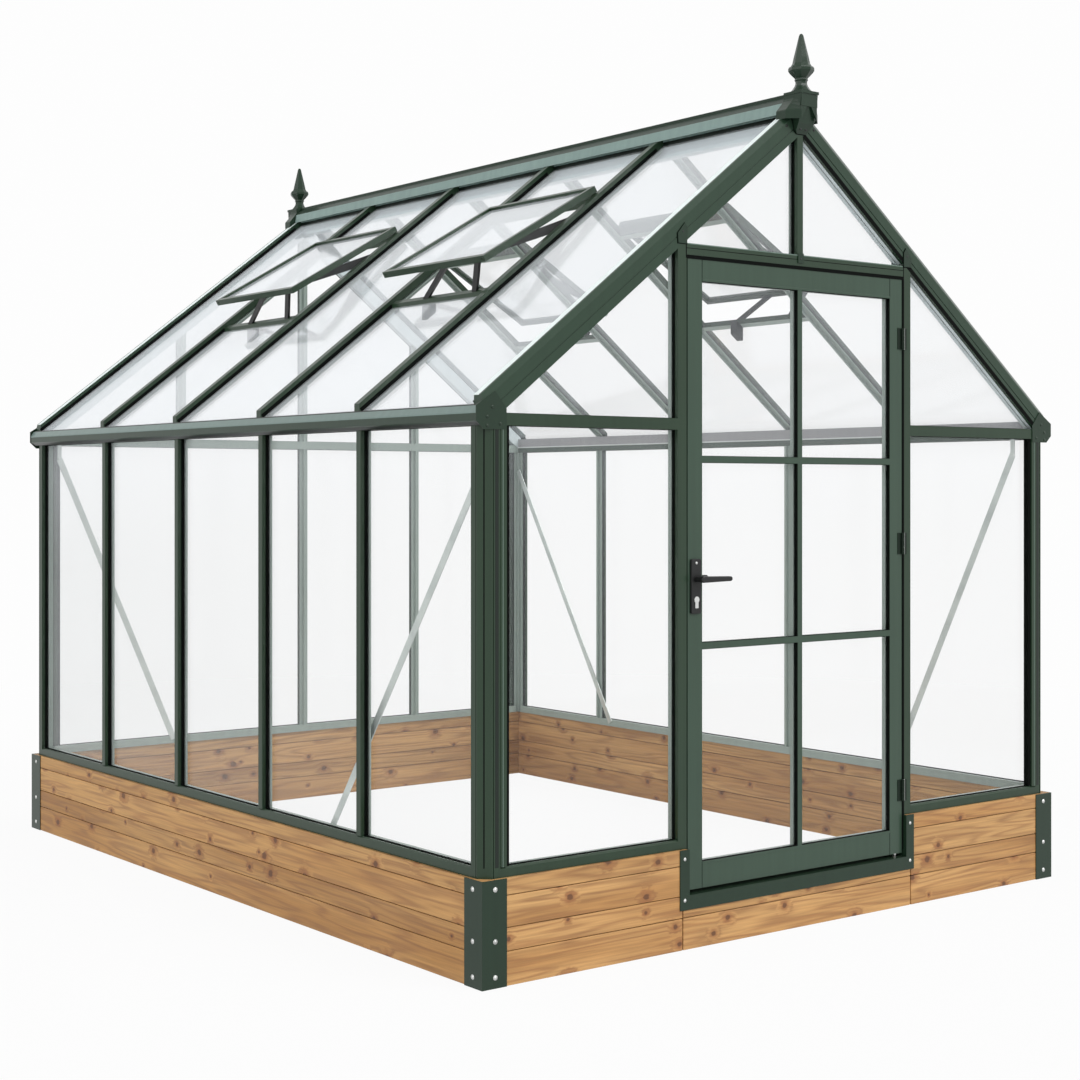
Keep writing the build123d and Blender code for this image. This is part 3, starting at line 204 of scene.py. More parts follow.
class Wiring:
    """Adds nodes to one tree, sets them and links them."""

    def __init__(self, tree: bpy.types.NodeTree) -> None:
        """Keeps the tree."""
        self.tree = tree

    def feed(self, socket: bpy.types.NodeSocket, value: object) -> None:
        """Gives a socket a link or a plain value.

        Args:
            socket: The socket.
            value: A signal or another node's socket to link, or a plain value to set.
        """
        if isinstance(value, Signal):
            value = value.socket
        if isinstance(value, bpy.types.NodeSocket):
            self.tree.links.new(value, socket)
        else:
            socket.default_value = value

    def add(
        self,
        kind: str,
        settings: Mapping[str, object] | None = None,
        inputs: Mapping[str | int, object] | None = None,
    ) -> bpy.types.Node:
        """Adds a node of any type.

        Args:
            kind: The node's type.
            settings: Its properties, set first. "stops" is a ramp's list of place and colour.
            inputs: Values or links for its sockets, by name or number.

        Returns:
            The node.
        """
        node = self.tree.nodes.new(kind)
        for name, value in (settings or {}).items():
            if name == "stops":
                ramp = node.color_ramp
                while len(ramp.elements) < len(value):
                    ramp.elements.new(1.0)
                for element, (place, colour) in zip(ramp.elements, value):
                    element.position = place
                    element.color = colour
            else:
                setattr(node, name, value)
        for key, value in (inputs or {}).items():
            self.feed(node.inputs[key], value)
        return node

    def maths(self, operation: str, *values: object, clamp: bool = False) -> Signal:
        """Adds a Math node.

        Args:
            operation: The node's operation.
            *values: Its values, numbers or signals.
            clamp: Whether the result stays between 0 and 1.

        Returns:
            The result.
        """
        settings = {"operation": operation, "use_clamp": clamp}
        node = self.add("ShaderNodeMath", settings, dict(enumerate(values)))
        return Signal(self, node.outputs[0])

    def vector(self, operation: str, *values: object) -> bpy.types.NodeSocket:
        """Adds a Vector Math node and returns the vector, or the length for LENGTH."""
        node = self.add("ShaderNodeVectorMath", {"operation": operation}, dict(enumerate(values)))
        return node.outputs[1 if operation == "LENGTH" else 0]

    def scaled(self, vector: object, factor: object) -> bpy.types.NodeSocket:
        """Scales a vector by one number."""
        inputs = {0: vector, "Scale": factor}
        return self.add("ShaderNodeVectorMath", {"operation": "SCALE"}, inputs).outputs[0]

    def blend(self, share: object, first: object, second: object) -> bpy.types.NodeSocket:
        """Mixes two colours by a share."""
        node = self.add("ShaderNodeMix", {"data_type": "RGBA"}, {0: share, 6: first, 7: second})
        return node.outputs[2]

    def shaded(self, colour: object, strength: object) -> bpy.types.NodeSocket:
        """Multiplies a colour by a grey of the given strength."""
        return self.scaled(colour[:3] if isinstance(colour, tuple) else colour, strength)

    def noise(self, place: object, scale: float, detail: float = 2.0) -> Signal:
        """Noise between 0 and 1 at a place."""
        inputs = {"Vector": place, "Scale": scale, "Detail": detail}
        return Signal(self, self.add("ShaderNodeTexNoise", None, inputs).outputs[0])

    def stretched(self, place: object, scales: Triple, detail: float = 2.0) -> Signal:
        """Noise that is finer or longer by axis."""
        return self.noise(self.vector("MULTIPLY", place, scales), 1.0, detail)

    def parts(self, vector: object) -> tuple[Signal, Signal, Signal]:
        """The three parts of a vector."""
        node = self.add("ShaderNodeSeparateXYZ", None, {0: vector})
        return tuple(Signal(self, output) for output in node.outputs)

    def joined(self, x: object, y: object, z: object) -> bpy.types.NodeSocket:
        """A vector from three numbers."""
        return self.add("ShaderNodeCombineXYZ", None, {0: x, 1: y, 2: z}).outputs[0]


# Finishes


@dataclass(frozen=True)
class Finish:
    """A surface with a Principled shader. Subclasses say how it varies."""

    name: str

    def dress(self, wiring: Wiring, shader: bpy.types.Node) -> None:
        """Sets and links the shader's sockets.

        Args:
            wiring: The material's tree.
            shader: Its shader.
        """
        raise NotImplementedError

    def material(self) -> bpy.types.Material:
        """Makes the material, unless it is already made.

        Returns:
            The material.
        """
        found = bpy.data.materials.get(self.name)
        if found is not None:
            return found
        material = bpy.data.materials.new(self.name)
        material.use_nodes = True
        material.node_tree.nodes.clear()
        wiring = Wiring(material.node_tree)
        shader = wiring.add("ShaderNodeBsdfPrincipled")
        wiring.add("ShaderNodeOutputMaterial", None, {"Surface": shader.outputs[0]})
        self.dress(wiring, shader)
        return material

    @staticmethod
    def place(wiring: Wiring) -> bpy.types.NodeSocket:
        """Object coordinates."""
        return wiring.add("ShaderNodeTexCoord").outputs["Object"]

    @staticmethod
    def bump(wiring: Wiring, height: object, depth: float, strength: float) -> bpy.types.NodeSocket:
        """Turns a height into a normal.

        Args:
            wiring: The tree.
            height: Height between 0 and 1.
            depth: Depth of the relief in metres.
            strength: Strength of the effect.

        Returns:
            The normal.
        """
        inputs = {"Height": height, "Distance": depth, "Strength": strength}
        return wiring.add("ShaderNodeBump", None, inputs).outputs[0]


@dataclass(frozen=True)
class PowderCoat(Finish):
    """Baked powder paint on aluminium: clear gloss, long streaks, dust, and painted light on the inner
    side, which is painted paler to stand in for the veil of the glass in front.
    """

    colour: Colour
    inner: Colour
    inner_depth: float = 0.029
    sheen: float = 0.34
    coat: float = 0.35
    specular: float = 0.15
    dust: float = 0.1
    half_width: float = 1.26
    half_length: float = 1.59
    apex: float = 2.652
    pitch: float = ROOF_PITCH
    tone: float = 0.78
    cloud_tone: float = 0.18
    streak_tone: float = 0.26
    cloud_scale: float = 2.3
    streak_scales: Triple = (46.0, 46.0, 1.3)
    speckle_scale: float = 240.0
    upward: Span = (0.35, 0.95)
    coat_roughness: float = 0.12
    peel_scale: float = 620.0
    peel_depth: float = 0.00012
    peel_strength: float = 0.25

    def below_roof(self, x: Signal, z: Signal) -> Signal:
        """How far a place lies below the outer plane of its slope."""
        return (self.apex - x.magnitude() * math.tan(self.pitch) - z) * math.cos(self.pitch)

    def inside(self, wiring: Wiring, place: bpy.types.NodeSocket) -> Signal:
        """One where a place lies behind the outer planes by more than the inner depth.

        Args:
            wiring: The material's tree.
            place: Object coordinates.

        Returns:
            One on the inner side, and nought elsewhere.
        """
        x, y, z = wiring.parts(place)
        from_side = self.half_width - x.magnitude()
        from_gable = self.half_length - y.magnitude()
        nearest = from_side.maths("MINIMUM", from_gable).maths("MINIMUM", self.below_roof(x, z))
        return nearest.above(self.inner_depth)

    def inner_tone(self, wiring: Wiring, place: bpy.types.NodeSocket) -> object:
        """Colour of the inner side: painted light, paler for the veil of the glass in front."""
        return self.inner

    def outer_tone(self, wiring: Wiring, place: bpy.types.NodeSocket) -> object:
        """Colour of the outer side."""
        return self.colour

    def dress(self, wiring: Wiring, shader: bpy.types.Node) -> None:
        """Paint with clouds, streaks, dust on what faces up, and painted light on the inner side.

        Args:
            wiring: The material's tree.
            shader: Its shader.
        """
        place = self.place(wiring)
        clouds = wiring.noise(place, self.cloud_scale, 3.0)
        streaks = wiring.stretched(place, self.streak_scales, 3.0)
        speckle = wiring.noise(place, self.speckle_scale, 1.0)
        tone = self.tone + clouds * self.cloud_tone + streaks * self.streak_tone
        normal = wiring.add("ShaderNodeNewGeometry").outputs["Normal"]
        facing_up = wiring.parts(normal)[2].faded(*self.upward)
        settled = (facing_up * (0.35 + streaks * 0.8) * speckle.faded(0.25, 0.75) * self.dust).held()
        # Painted light: places behind the glass take the paler inner colour, standing in for the bright
        # veil of the glass in front.
        tones = (self.outer_tone(wiring, place), self.inner_tone(wiring, place))
        side = wiring.blend(self.inside(wiring, place), *tones)
        painted = wiring.shaded(side, tone)
        wiring.feed(shader.inputs["Base Color"], wiring.blend(settled, painted, SETTLED_DUST))
        wiring.feed(shader.inputs["Roughness"], self.sheen + clouds * 0.12 + settled * 0.3)
        shader.inputs["Coat Weight"].default_value = self.coat
        shader.inputs["Coat Roughness"].default_value = self.coat_roughness
        shader.inputs["Specular IOR Level"].default_value = self.specular
        peel = wiring.noise(place, self.peel_scale, 1.0)
        relief = self.bump(wiring, peel, self.peel_depth, self.peel_strength)
        wiring.feed(shader.inputs["Normal"], relief)


@dataclass(frozen=True)
class RafterCoat(PowderCoat):
    """Powder paint of the gable rafters, with painted light: undersides painted pale behind their front
    lip, and a painted reflection of the sky on the outer plane.
    """

    painted_sky_reflection: Colour = paint(232, 243, 242)
    skin: float = 0.0015
    bevel: float = 0.02
    lip: float = 0.0115
    underside: float = 0.0795

    def outer_tone(self, wiring: Wiring, place: bpy.types.NodeSocket) -> object:
        """Pale on the outer plane of the roof, behind the bevel of the front edge: a painted reflection of
        the sky.

        Args:
            wiring: The material's tree.
            place: Object coordinates.

        Returns:
            The colour, plain or linked.
        """
        x, y, z = wiring.parts(place)
        on_top = 1.0 - self.below_roof(x, z).above(self.skin)
        behind = (self.half_length - y.magnitude()).above(self.bevel)
        return wiring.blend(on_top * behind, self.colour, self.painted_sky_reflection)

    def inside(self, wiring: Wiring, place: bpy.types.NodeSocket) -> Signal:
        """Adds the undersides behind the lip, which are painted pale as painted light.

        Args:
            wiring: The material's tree.
            place: Object coordinates.

        Returns:
            One on the inner side, and nought elsewhere.
        """
        x, y, z = wiring.parts(place)
        under = self.below_roof(x, z).above(self.underside)
        behind = (self.half_length - y.magnitude()).above(self.lip)
        return super().inside(wiring, place).maths("MAXIMUM", under * behind)


@dataclass(frozen=True)
class LeafCoat(PowderCoat):
    """Powder paint of the door leaf, whose reveals between the glass and the back face are painted pale as
    painted light for the veil of the glass.
    """

    back_face: float = 0.0365

    def inside(self, wiring: Wiring, place: bpy.types.NodeSocket) -> Signal:
        """One between the inner depth and the back face."""
        depth = self.half_length - wiring.parts(place)[1].magnitude()
        return depth.above(self.inner_depth) * (1.0 - depth.above(self.back_face))


@dataclass(frozen=True)
class BandCoat(PowderCoat):
    """Powder paint of a rolled profile, whose flanks are painted lighter or darker by height: bands of
    painted highlight and painted shade.
    """

    bands: tuple[tuple[float, Colour], ...] = ()

    def outer_tone(self, wiring: Wiring, place: bpy.types.NodeSocket) -> object:
        """The flank's colour, which changes at the foot of each band; the bands are painted highlight and
        painted shade.

        Args:
            wiring: The material's tree.
            place: Object coordinates.

        Returns:
            The colour, plain or linked.
        """
        height = wiring.parts(place)[2]
        colour: object = self.colour
        for foot, shade in self.bands:
            colour = wiring.blend(height.above(foot), colour, shade)
        return colour


@dataclass(frozen=True)
class BeamCoat(PowderCoat):
    """Powder paint of the eaves beams, with painted light on the inner side: a painted highlight along the
    lip parts two tones.
    """

    # Painted light on the inner side: upper is the grey above the lip, bright a painted highlight along the
    # lip.
    upper: Colour = (0.3, 0.3, 0.31, 1.0)
    bright: Colour = (0.62, 0.65, 0.64, 1.0)
    lip_foot: float = 1.611
    lip_head: float = 1.616

    def inner_tone(self, wiring: Wiring, place: bpy.types.NodeSocket) -> object:
        """Green below the lip, a painted highlight on it and grey above it, all painted light.

        Args:
            wiring: The material's tree.
            place: Object coordinates.

        Returns:
            The colour, plain or linked.
        """
        height = wiring.parts(place)[2]
        over = wiring.blend(height.above(self.lip_foot), self.inner, self.bright)
        return wiring.blend(height.above(self.lip_head), over, self.upper)


@dataclass(frozen=True)
class HingeFinish(Finish):
    """Hinge leaves painted like the frame, with a bright strip beside the pin."""

    painted: Colour
    bright: Colour
    strip_start: float = 0.4915
    strip_end: float = 0.4975
    scuff_scales: Triple = (260.0, 260.0, 40.0)
    scuff_depth: float = 0.0001
    scuff_strength: float = 0.2
    specular: float = 0.15

    def dress(self, wiring: Wiring, shader: bpy.types.Node) -> None:
        """Chooses bare metal or paint by how far a place lies from the pin.

        Args:
            wiring: The material's tree.
            shader: Its shader.
        """
        place = self.place(wiring)
        x = wiring.parts(place)[0]
        bare = x.above(self.strip_start) * (1.0 - x.above(self.strip_end))
        scuffs = wiring.stretched(place, self.scuff_scales)
        colour = wiring.blend(bare, self.painted, self.bright)
        wiring.feed(shader.inputs["Base Color"], wiring.shaded(colour, 0.85 + scuffs * 0.3))
        wiring.feed(shader.inputs["Metallic"], bare * 0.8)
        shader.inputs["Specular IOR Level"].default_value = self.specular
        wiring.feed(shader.inputs["Roughness"], 0.42 - bare * 0.08 + scuffs * 0.1)
        relief = self.bump(wiring, scuffs, self.scuff_depth, self.scuff_strength)
        wiring.feed(shader.inputs["Normal"], relief)


@dataclass(frozen=True)
class Timber(Finish):
    """Planed softwood boards with flat-sawn grain and knots; each board differs by its tone."""

    grain: Grain
    pale: Colour
    middle: Colour
    late: Colour
    heart: Colour
    knot: Colour
    knot_spacing: float = 0.27
    knot_rows: float = 0.085
    knot_chance: float = 0.3
    knot_least: float = 0.004
    knot_extra: float = 0.0075
    knot_shape: Triple = (0.8, 1.0, 0.0)
    ragged: Triple = (60.0, 150.0, 9.0)
    swell: Triple = (0.85, 13.0, 6.0)
    wander: Triple = (2.6, 60.0, 40.0)
    broad: Triple = (0.8, 9.0, 5.0)
    fibre: Triple = (5.0, 170.0, 170.0)
    board_step: Span = (23.0, 7.0)
    ring_turns: float = 58.0
    ring_wander: float = 4.2
    ring_bend: float = 5.0
    relief_depth: float = 0.0007
    relief_strength: float = 0.35
    tone: float = 0.5
    board_tone: float = 0.13
    fibre_tone: float = 0.78

    def dress(self, wiring: Wiring, shader: bpy.types.Node) -> None:
        """Grain, growth rings that bend round the knots, and fine fibres.

        Args:
            wiring: The material's tree.
            shader: Its shader.
        """
        x, y, z = wiring.parts(self.place(wiring))
        along, depth = (y, x) if self.grain is Grain.ALONG else (x, y)
        board = Signal(
            wiring,
            wiring.add("ShaderNodeAttribute", {"attribute_name": "board_tone"}).outputs["Fac"],
        )
        run = along + board * self.board_step[0]
        rise = z + board * self.board_step[1]

        def grained(third: Signal, scales: Triple, detail: float = 2.0) -> Signal:
            """Noise that is finer or longer along, up and through the board."""
            parts = [part * scale for part, scale in zip((run, rise, third), scales)]
            return wiring.noise(wiring.joined(*parts), 1.0, detail)

        knot_place = wiring.joined(run / self.knot_spacing, rise / self.knot_rows, 0.0)
        cells = wiring.add(
            "ShaderNodeTexVoronoi",
            {"voronoi_dimensions": "2D", "feature": "F1"},
            {"Vector": knot_place, "Scale": 1.0, "Randomness": 0.95},
        )
        offset = wiring.vector("SUBTRACT", knot_place, cells.outputs["Position"])
        real = wiring.vector("MULTIPLY", offset, (self.knot_spacing, self.knot_rows, 0.0))
        squeezed = wiring.vector("MULTIPLY", real, self.knot_shape)
        reach = Signal(wiring, wiring.vector("LENGTH", squeezed))
        pick, chance, _ = wiring.parts(cells.outputs["Color"])
        present = chance.above(self.knot_chance)
        radius = self.knot_least + pick * self.knot_extra
        ragged = grained(board, self.ragged)
        nearness = reach * (0.55 + ragged * 0.9) / radius
        knot = (1.0 - nearness.faded(0.7, 1.25)) * present
        halo = (1.0 - nearness.faded(0.8, 4.6)) * present
        swell = grained(depth, self.swell)
        wander = grained(depth, self.wander)
        phase = swell * self.ring_turns + wander * self.ring_wander + halo * self.ring_bend
        rings = phase.maths("SINE") * 0.5 + 0.5
        late = (rings ** 2.2) * (0.4 + wander * 0.9)
        broad = grained(board, self.broad, 1.0)
        fibre = grained(depth, self.fibre, 5.0)
        colour = wiring.blend(broad.faded(0.3, 0.7), self.pale, self.middle)
        colour = wiring.blend((late * 0.6).held(), colour, self.late)
        colour = wiring.blend((halo * halo * 0.7).held(), colour, self.heart)
        colour = wiring.blend((knot * 0.75).held(), colour, self.knot)
        tone = self.tone + board * self.board_tone + fibre * self.fibre_tone
        wiring.feed(shader.inputs["Base Color"], wiring.shaded(colour, tone))
        wiring.feed(shader.inputs["Roughness"], 0.52 + fibre * 0.2 - late * 0.08)
        relief = late * 0.5 + fibre * 0.4 + knot * 0.5
        normal = self.bump(wiring, relief, self.relief_depth, self.relief_strength)
        wiring.feed(shader.inputs["Normal"], normal)


@dataclass(frozen=True)
class Glazing(Finish):
    """Single glass with a soft veil of sky that is a painted reflection, thicker and paler up high and at a
    glancing look.
    """

    low_painted_veil: Colour
    high_painted_veil: Colour
    low_veil_cover: float = 0.03
    high_veil_cover: float = 0.06
    mirror: float = 0.3
    glance: float = 1.75
    veil_foot: float = 1.0
    veil_head: float = 1.75
    wipe_scales: Triple = (1.4, 1.4, 4.0)
    roughness: float = 0.07

    def dress(self, wiring: Wiring, shader: bpy.types.Node) -> None:
        """Soft bright veil over clear glass as a painted reflection, with faint wipe marks.

        Args:
            wiring: The material's tree.
            shader: Its shader.
        """
        place = self.place(wiring)
        rise = wiring.parts(place)[2].faded(self.veil_foot, self.veil_head)
        wipes = wiring.stretched(place, self.wipe_scales, 3.0)
        shader.inputs["Metallic"].default_value = self.mirror
        # Painted reflection: the veil's colour and cover rise with height, paler and thicker on the roof
        # than low on the walls.
        painted_veil_colour = wiring.blend(rise * 0.95, self.low_painted_veil, self.high_painted_veil)
        wiring.feed(shader.inputs["Base Color"], painted_veil_colour)
        looked_at = wiring.add("ShaderNodeLayerWeight", None, {"Blend": 0.5})
        slant = Signal(wiring, looked_at.outputs["Facing"])
        veil_cover = self.low_veil_cover + rise * (self.high_veil_cover - self.low_veil_cover)
        clear = (1.0 - veil_cover * (0.94 + wipes * 0.12)) * (1.0 - slant ** 5.0) ** self.glance
        wiring.feed(shader.inputs["Alpha"], (1.0 - clear).held())
        wiring.feed(shader.inputs["Roughness"], self.roughness + wipes.faded(0.45, 0.8) * 0.02)


@dataclass(frozen=True)
class BareMetal(Finish):
    """Mill-finished or brushed metal with fine lines along its length."""

    colour: Colour
    dull: Colour
    metallic: float = 0.85
    roughness: float = 0.36
    lines: Triple = (300.0, 300.0, 14.0)
    line_depth: float = 0.0001
    line_strength: float = 0.2
    patch_scale: float = 9.0

    def dress(self, wiring: Wiring, shader: bpy.types.Node) -> None:
        """Brushed lines and dull patches.

        Args:
            wiring: The material's tree.
            shader: Its shader.
        """
        place = self.place(wiring)
        brushed = wiring.stretched(place, self.lines)
        patches = wiring.noise(place, self.patch_scale, 3.0)
        shader.inputs["Metallic"].default_value = self.metallic
        share = (patches.faded(0.35, 0.75) * 0.6).held()
        wiring.feed(shader.inputs["Base Color"], wiring.blend(share, self.colour, self.dull))
        wiring.feed(shader.inputs["Roughness"], self.roughness + brushed * 0.14 + patches * 0.08)
        relief = self.bump(wiring, brushed, self.line_depth, self.line_strength)
        wiring.feed(shader.inputs["Normal"], relief)


@dataclass(frozen=True)
class BlackPart(Finish):
    """Black paint, rubber or plastic with a fine grain."""

    colour: Colour
    roughness: float = 0.4
    specular: float = 0.35
    grain: float = 900.0
    grain_depth: float = 0.00015
    grain_strength: float = 0.3
    cloud_scale: float = 18.0

    def dress(self, wiring: Wiring, shader: bpy.types.Node) -> None:
        """Fine grain and a slightly cloudy gloss.

        Args:
            wiring: The material's tree.
            shader: Its shader.
        """
        place = self.place(wiring)
        clouds = wiring.noise(place, self.cloud_scale)
        grain = wiring.noise(place, self.grain, 1.0)
        tone = 0.85 + clouds * 0.3
        wiring.feed(shader.inputs["Base Color"], wiring.shaded(self.colour, tone))
        wiring.feed(shader.inputs["Roughness"], self.roughness + clouds * 0.12)
        shader.inputs["Specular IOR Level"].default_value = self.specular
        relief = self.bump(wiring, grain, self.grain_depth, self.grain_strength)
        wiring.feed(shader.inputs["Normal"], relief)


SETTLED_DUST = paint(120, 128, 112)
# Pale green of the inner sides behind the glass: painted light that stands in for the bright veil of the
# glass in front.
INNER_PAINTED_LIGHT = paint(150, 163, 156)
# Near-black green: painted shade in the folds, under-slopes and recesses of the profiles.
PAINTED_SHADE_GREEN = paint(16, 27, 20)
# Pale green: a painted highlight band on the ridge.
PAINTED_HIGHLIGHT_GREEN = paint(132, 153, 148)
GREEN = PowderCoat("green_powder_coat", paint(38, 57, 41), INNER_PAINTED_LIGHT)
LEAF_GREEN = LeafCoat("green_door_coat", paint(54, 73, 60), INNER_PAINTED_LIGHT, 0.019)
RAFTER_GREEN = RafterCoat("green_rafter_coat", paint(38, 59, 44), paint(205, 216, 218))
BEAM_GREEN = BeamCoat("green_beam_coat", paint(38, 57, 41), paint(66, 80, 70))
# The ridge is painted in bands by height: painted shade low on its flank, a painted highlight band, then
# green at the top; its inner side is painted pale as painted light.
RIDGE_GREEN = BandCoat(
    "green_ridge_coat",
    PAINTED_SHADE_GREEN,
    paint(205, 216, 220),
    0.03,
    coat=0.08,
    dust=0.02,
    bands=((2.618, PAINTED_HIGHLIGHT_GREEN), (2.6535, paint(36, 52, 41))),
)
# The gutter is painted in bands by height: painted shade on its under-slope and at its top, green, and a
# painted highlight on its sloped face.
GUTTER_GREEN = BandCoat(
    "green_gutter_coat",
    PAINTED_SHADE_GREEN,
    INNER_PAINTED_LIGHT,
    bands=((1.5975, paint(40, 57, 45)), (1.622, paint(112, 131, 126)), (1.6445, PAINTED_SHADE_GREEN)),
)
DEEP_GREEN = PowderCoat("green_plate_coat", paint(27, 47, 33), INNER_PAINTED_LIGHT, 0.2)
SHADE_GREEN = PowderCoat("green_shaded_coat", PAINTED_SHADE_GREEN, PAINTED_SHADE_GREEN)
EDGE_GREEN = PowderCoat("green_edge_glint", paint(98, 117, 107), paint(98, 117, 107))
HINGE = HingeFinish("hinge_metal_and_paint", paint(24, 36, 28), paint(206, 207, 204))
TIMBER_COLOURS = {
    "pale": paint(196, 152, 97),
    "middle": paint(175, 129, 76),
    "late": paint(134, 88, 49),
    "heart": paint(140, 86, 48),
    "knot": paint(80, 48, 29),
}
BOARDS_ALONG = Timber("planed_boards_along", Grain.ALONG, **TIMBER_COLOURS)
BOARDS_ACROSS = Timber("planed_boards_across", Grain.ACROSS, **TIMBER_COLOURS)
GLASS = Glazing("clear_glazing", paint(208, 213, 214), paint(241, 246, 251))
BRACE = BareMetal("mill_aluminium", paint(205, 212, 208), paint(170, 178, 176))
STEEL = BareMetal("bright_steel", paint(215, 216, 214), paint(160, 162, 160), 1.0, 0.28)
HARDWARE = BlackPart("black_hardware", paint(26, 27, 27), 0.32)
RUBBER = BlackPart("black_rubber", paint(9, 12, 10), 0.7, 0.06)
NODE_FINISHES = {
    GREEN: (
        "corner_posts base_rails wall_bars back_bars door_posts door_header peak_mullion "
        "front_transoms back_transoms roof_bars vent_crossbars vent_stiles vent_rails"
    ),
    LEAF_GREEN: "door_stiles door_rails door_upright_bar door_cross_bars",
    RAFTER_GREEN: "left_rafters right_rafters",
    BEAM_GREEN: "eaves_beams",
    RIDGE_GREEN: "ridge",
    GUTTER_GREEN: "gutters",
    DEEP_GREEN: "plinth_angles door_sill eaves_end_plates",
    GLASS: (
        "left_wall_glass right_wall_glass back_gable_glass front_gable_glass "
        "left_roof_glass right_roof_glass vent_glass door_glass"
    ),
    BRACE: "wind_braces",
    HINGE: "post_hinges leaf_hinges",
    STEEL: "lock_cylinder",
    HARDWARE: "handle_plates lever_handles vent_openers",
}


# Repeated pieces


@dataclass(frozen=True)
class Block:
    """A block with rounded edges: its middle, its size and its turn about X, Y and Z."""

    middle: Triple
    size: Triple
    turn: Triple = (0.0, 0.0, 0.0)


@dataclass(frozen=True)
class Head:
    """A screw, bolt or rivet head: where it sits, which way it faces, and its radius."""

    seat: Triple
    facing: Triple
    radius: float


class RepeatTree:
    """A Geometry Nodes tree with named inputs that turns points into plain meshes."""

    name = ""

    def __init__(self) -> None:
        """Makes the tree with its geometry and material sockets."""
        self.tree = bpy.data.node_groups.new(self.name, "GeometryNodeTree")
        self.wiring = Wiring(self.tree)
        face = self.tree.interface
        face.new_socket("Points", in_out="INPUT", socket_type="NodeSocketGeometry")
        face.new_socket("Finish", in_out="INPUT", socket_type="NodeSocketMaterial")
        self.identifiers: dict[str, str] = {}
        for label, kind, value in self.sizes():
            socket = face.new_socket(label, in_out="INPUT", socket_type=kind)
            socket.default_value = value
        for item in face.items_tree:
            self.identifiers[item.name] = item.identifier
        face.new_socket("Pieces", in_out="OUTPUT", socket_type="NodeSocketGeometry")
        self.entry = self.wiring.add("NodeGroupInput")
        shape = self.shape()
        coated = self.wiring.add(
            "GeometryNodeSetMaterial",
            None,
            {"Geometry": shape, "Material": self.entry.outputs["Finish"]},
        )
        self.wiring.add("NodeGroupOutput", None, {0: coated.outputs[0]})

    def sizes(self) -> list[tuple[str, str, object]]:
        """The tree's own named inputs: label, socket type and default."""
        raise NotImplementedError

    def shape(self) -> bpy.types.NodeSocket:
        """Builds the nodes and returns the realised geometry."""
        raise NotImplementedError

    def stored(self, name: str, kind: str = "FLOAT_VECTOR") -> bpy.types.NodeSocket:
        """Reads a named attribute."""
        node = self.wiring.add("GeometryNodeInputNamedAttribute", {"data_type": kind}, {"Name": name})
        return node.outputs["Attribute"]

    def bake(
        self,
        name: str,
        columns: Mapping[str, Sequence[object]],
        finish: Finish,
        values: Mapping[str, object],
    ) -> bpy.types.Object:
        """Runs the tree on points and keeps the result as a plain mesh.

        Args:
            name: Name of the finished piece.
            columns: Named values at each point; "middle" is the points' own place.
            finish: The piece's finish.
            values: Values for the tree's named inputs.

        Returns:
            The piece, with no modifier left on it.
        """
        places = columns["middle"]
        cloud = bpy.data.meshes.new(name + "_points")
        cloud.from_pydata([tuple(place) for place in places], [], [])
        for label, entries in columns.items():
            is_number = isinstance(entries[0], float)
            kind = "FLOAT" if is_number else "FLOAT_VECTOR"
            layer = cloud.attributes.new(label, kind, "POINT")
            flat = list(entries) if is_number else [part for entry in entries for part in entry]
            layer.data.foreach_set("value" if is_number else "vector", flat)
        seed = bpy.data.objects.new(name, cloud)
        bpy.context.scene.collection.objects.link(seed)
        modifier = seed.modifiers.new("repeat", "NODES")
        modifier.node_group = self.tree
        modifier[self.identifiers["Finish"]] = finish.material()
        for label, value in values.items():
            modifier[self.identifiers[label]] = value
        bpy.context.view_layer.update()
        ready = seed.evaluated_get(bpy.context.evaluated_depsgraph_get())
        mesh = bpy.data.meshes.new_from_object(ready)
        seed.modifiers.remove(modifier)
        seed.data = mesh
        bpy.data.meshes.remove(cloud)
        mesh.name = name
        for label in [layer.name for layer in mesh.attributes]:
            if label in columns or label == "unit":
                mesh.attributes.remove(mesh.attributes[label])
        return seed


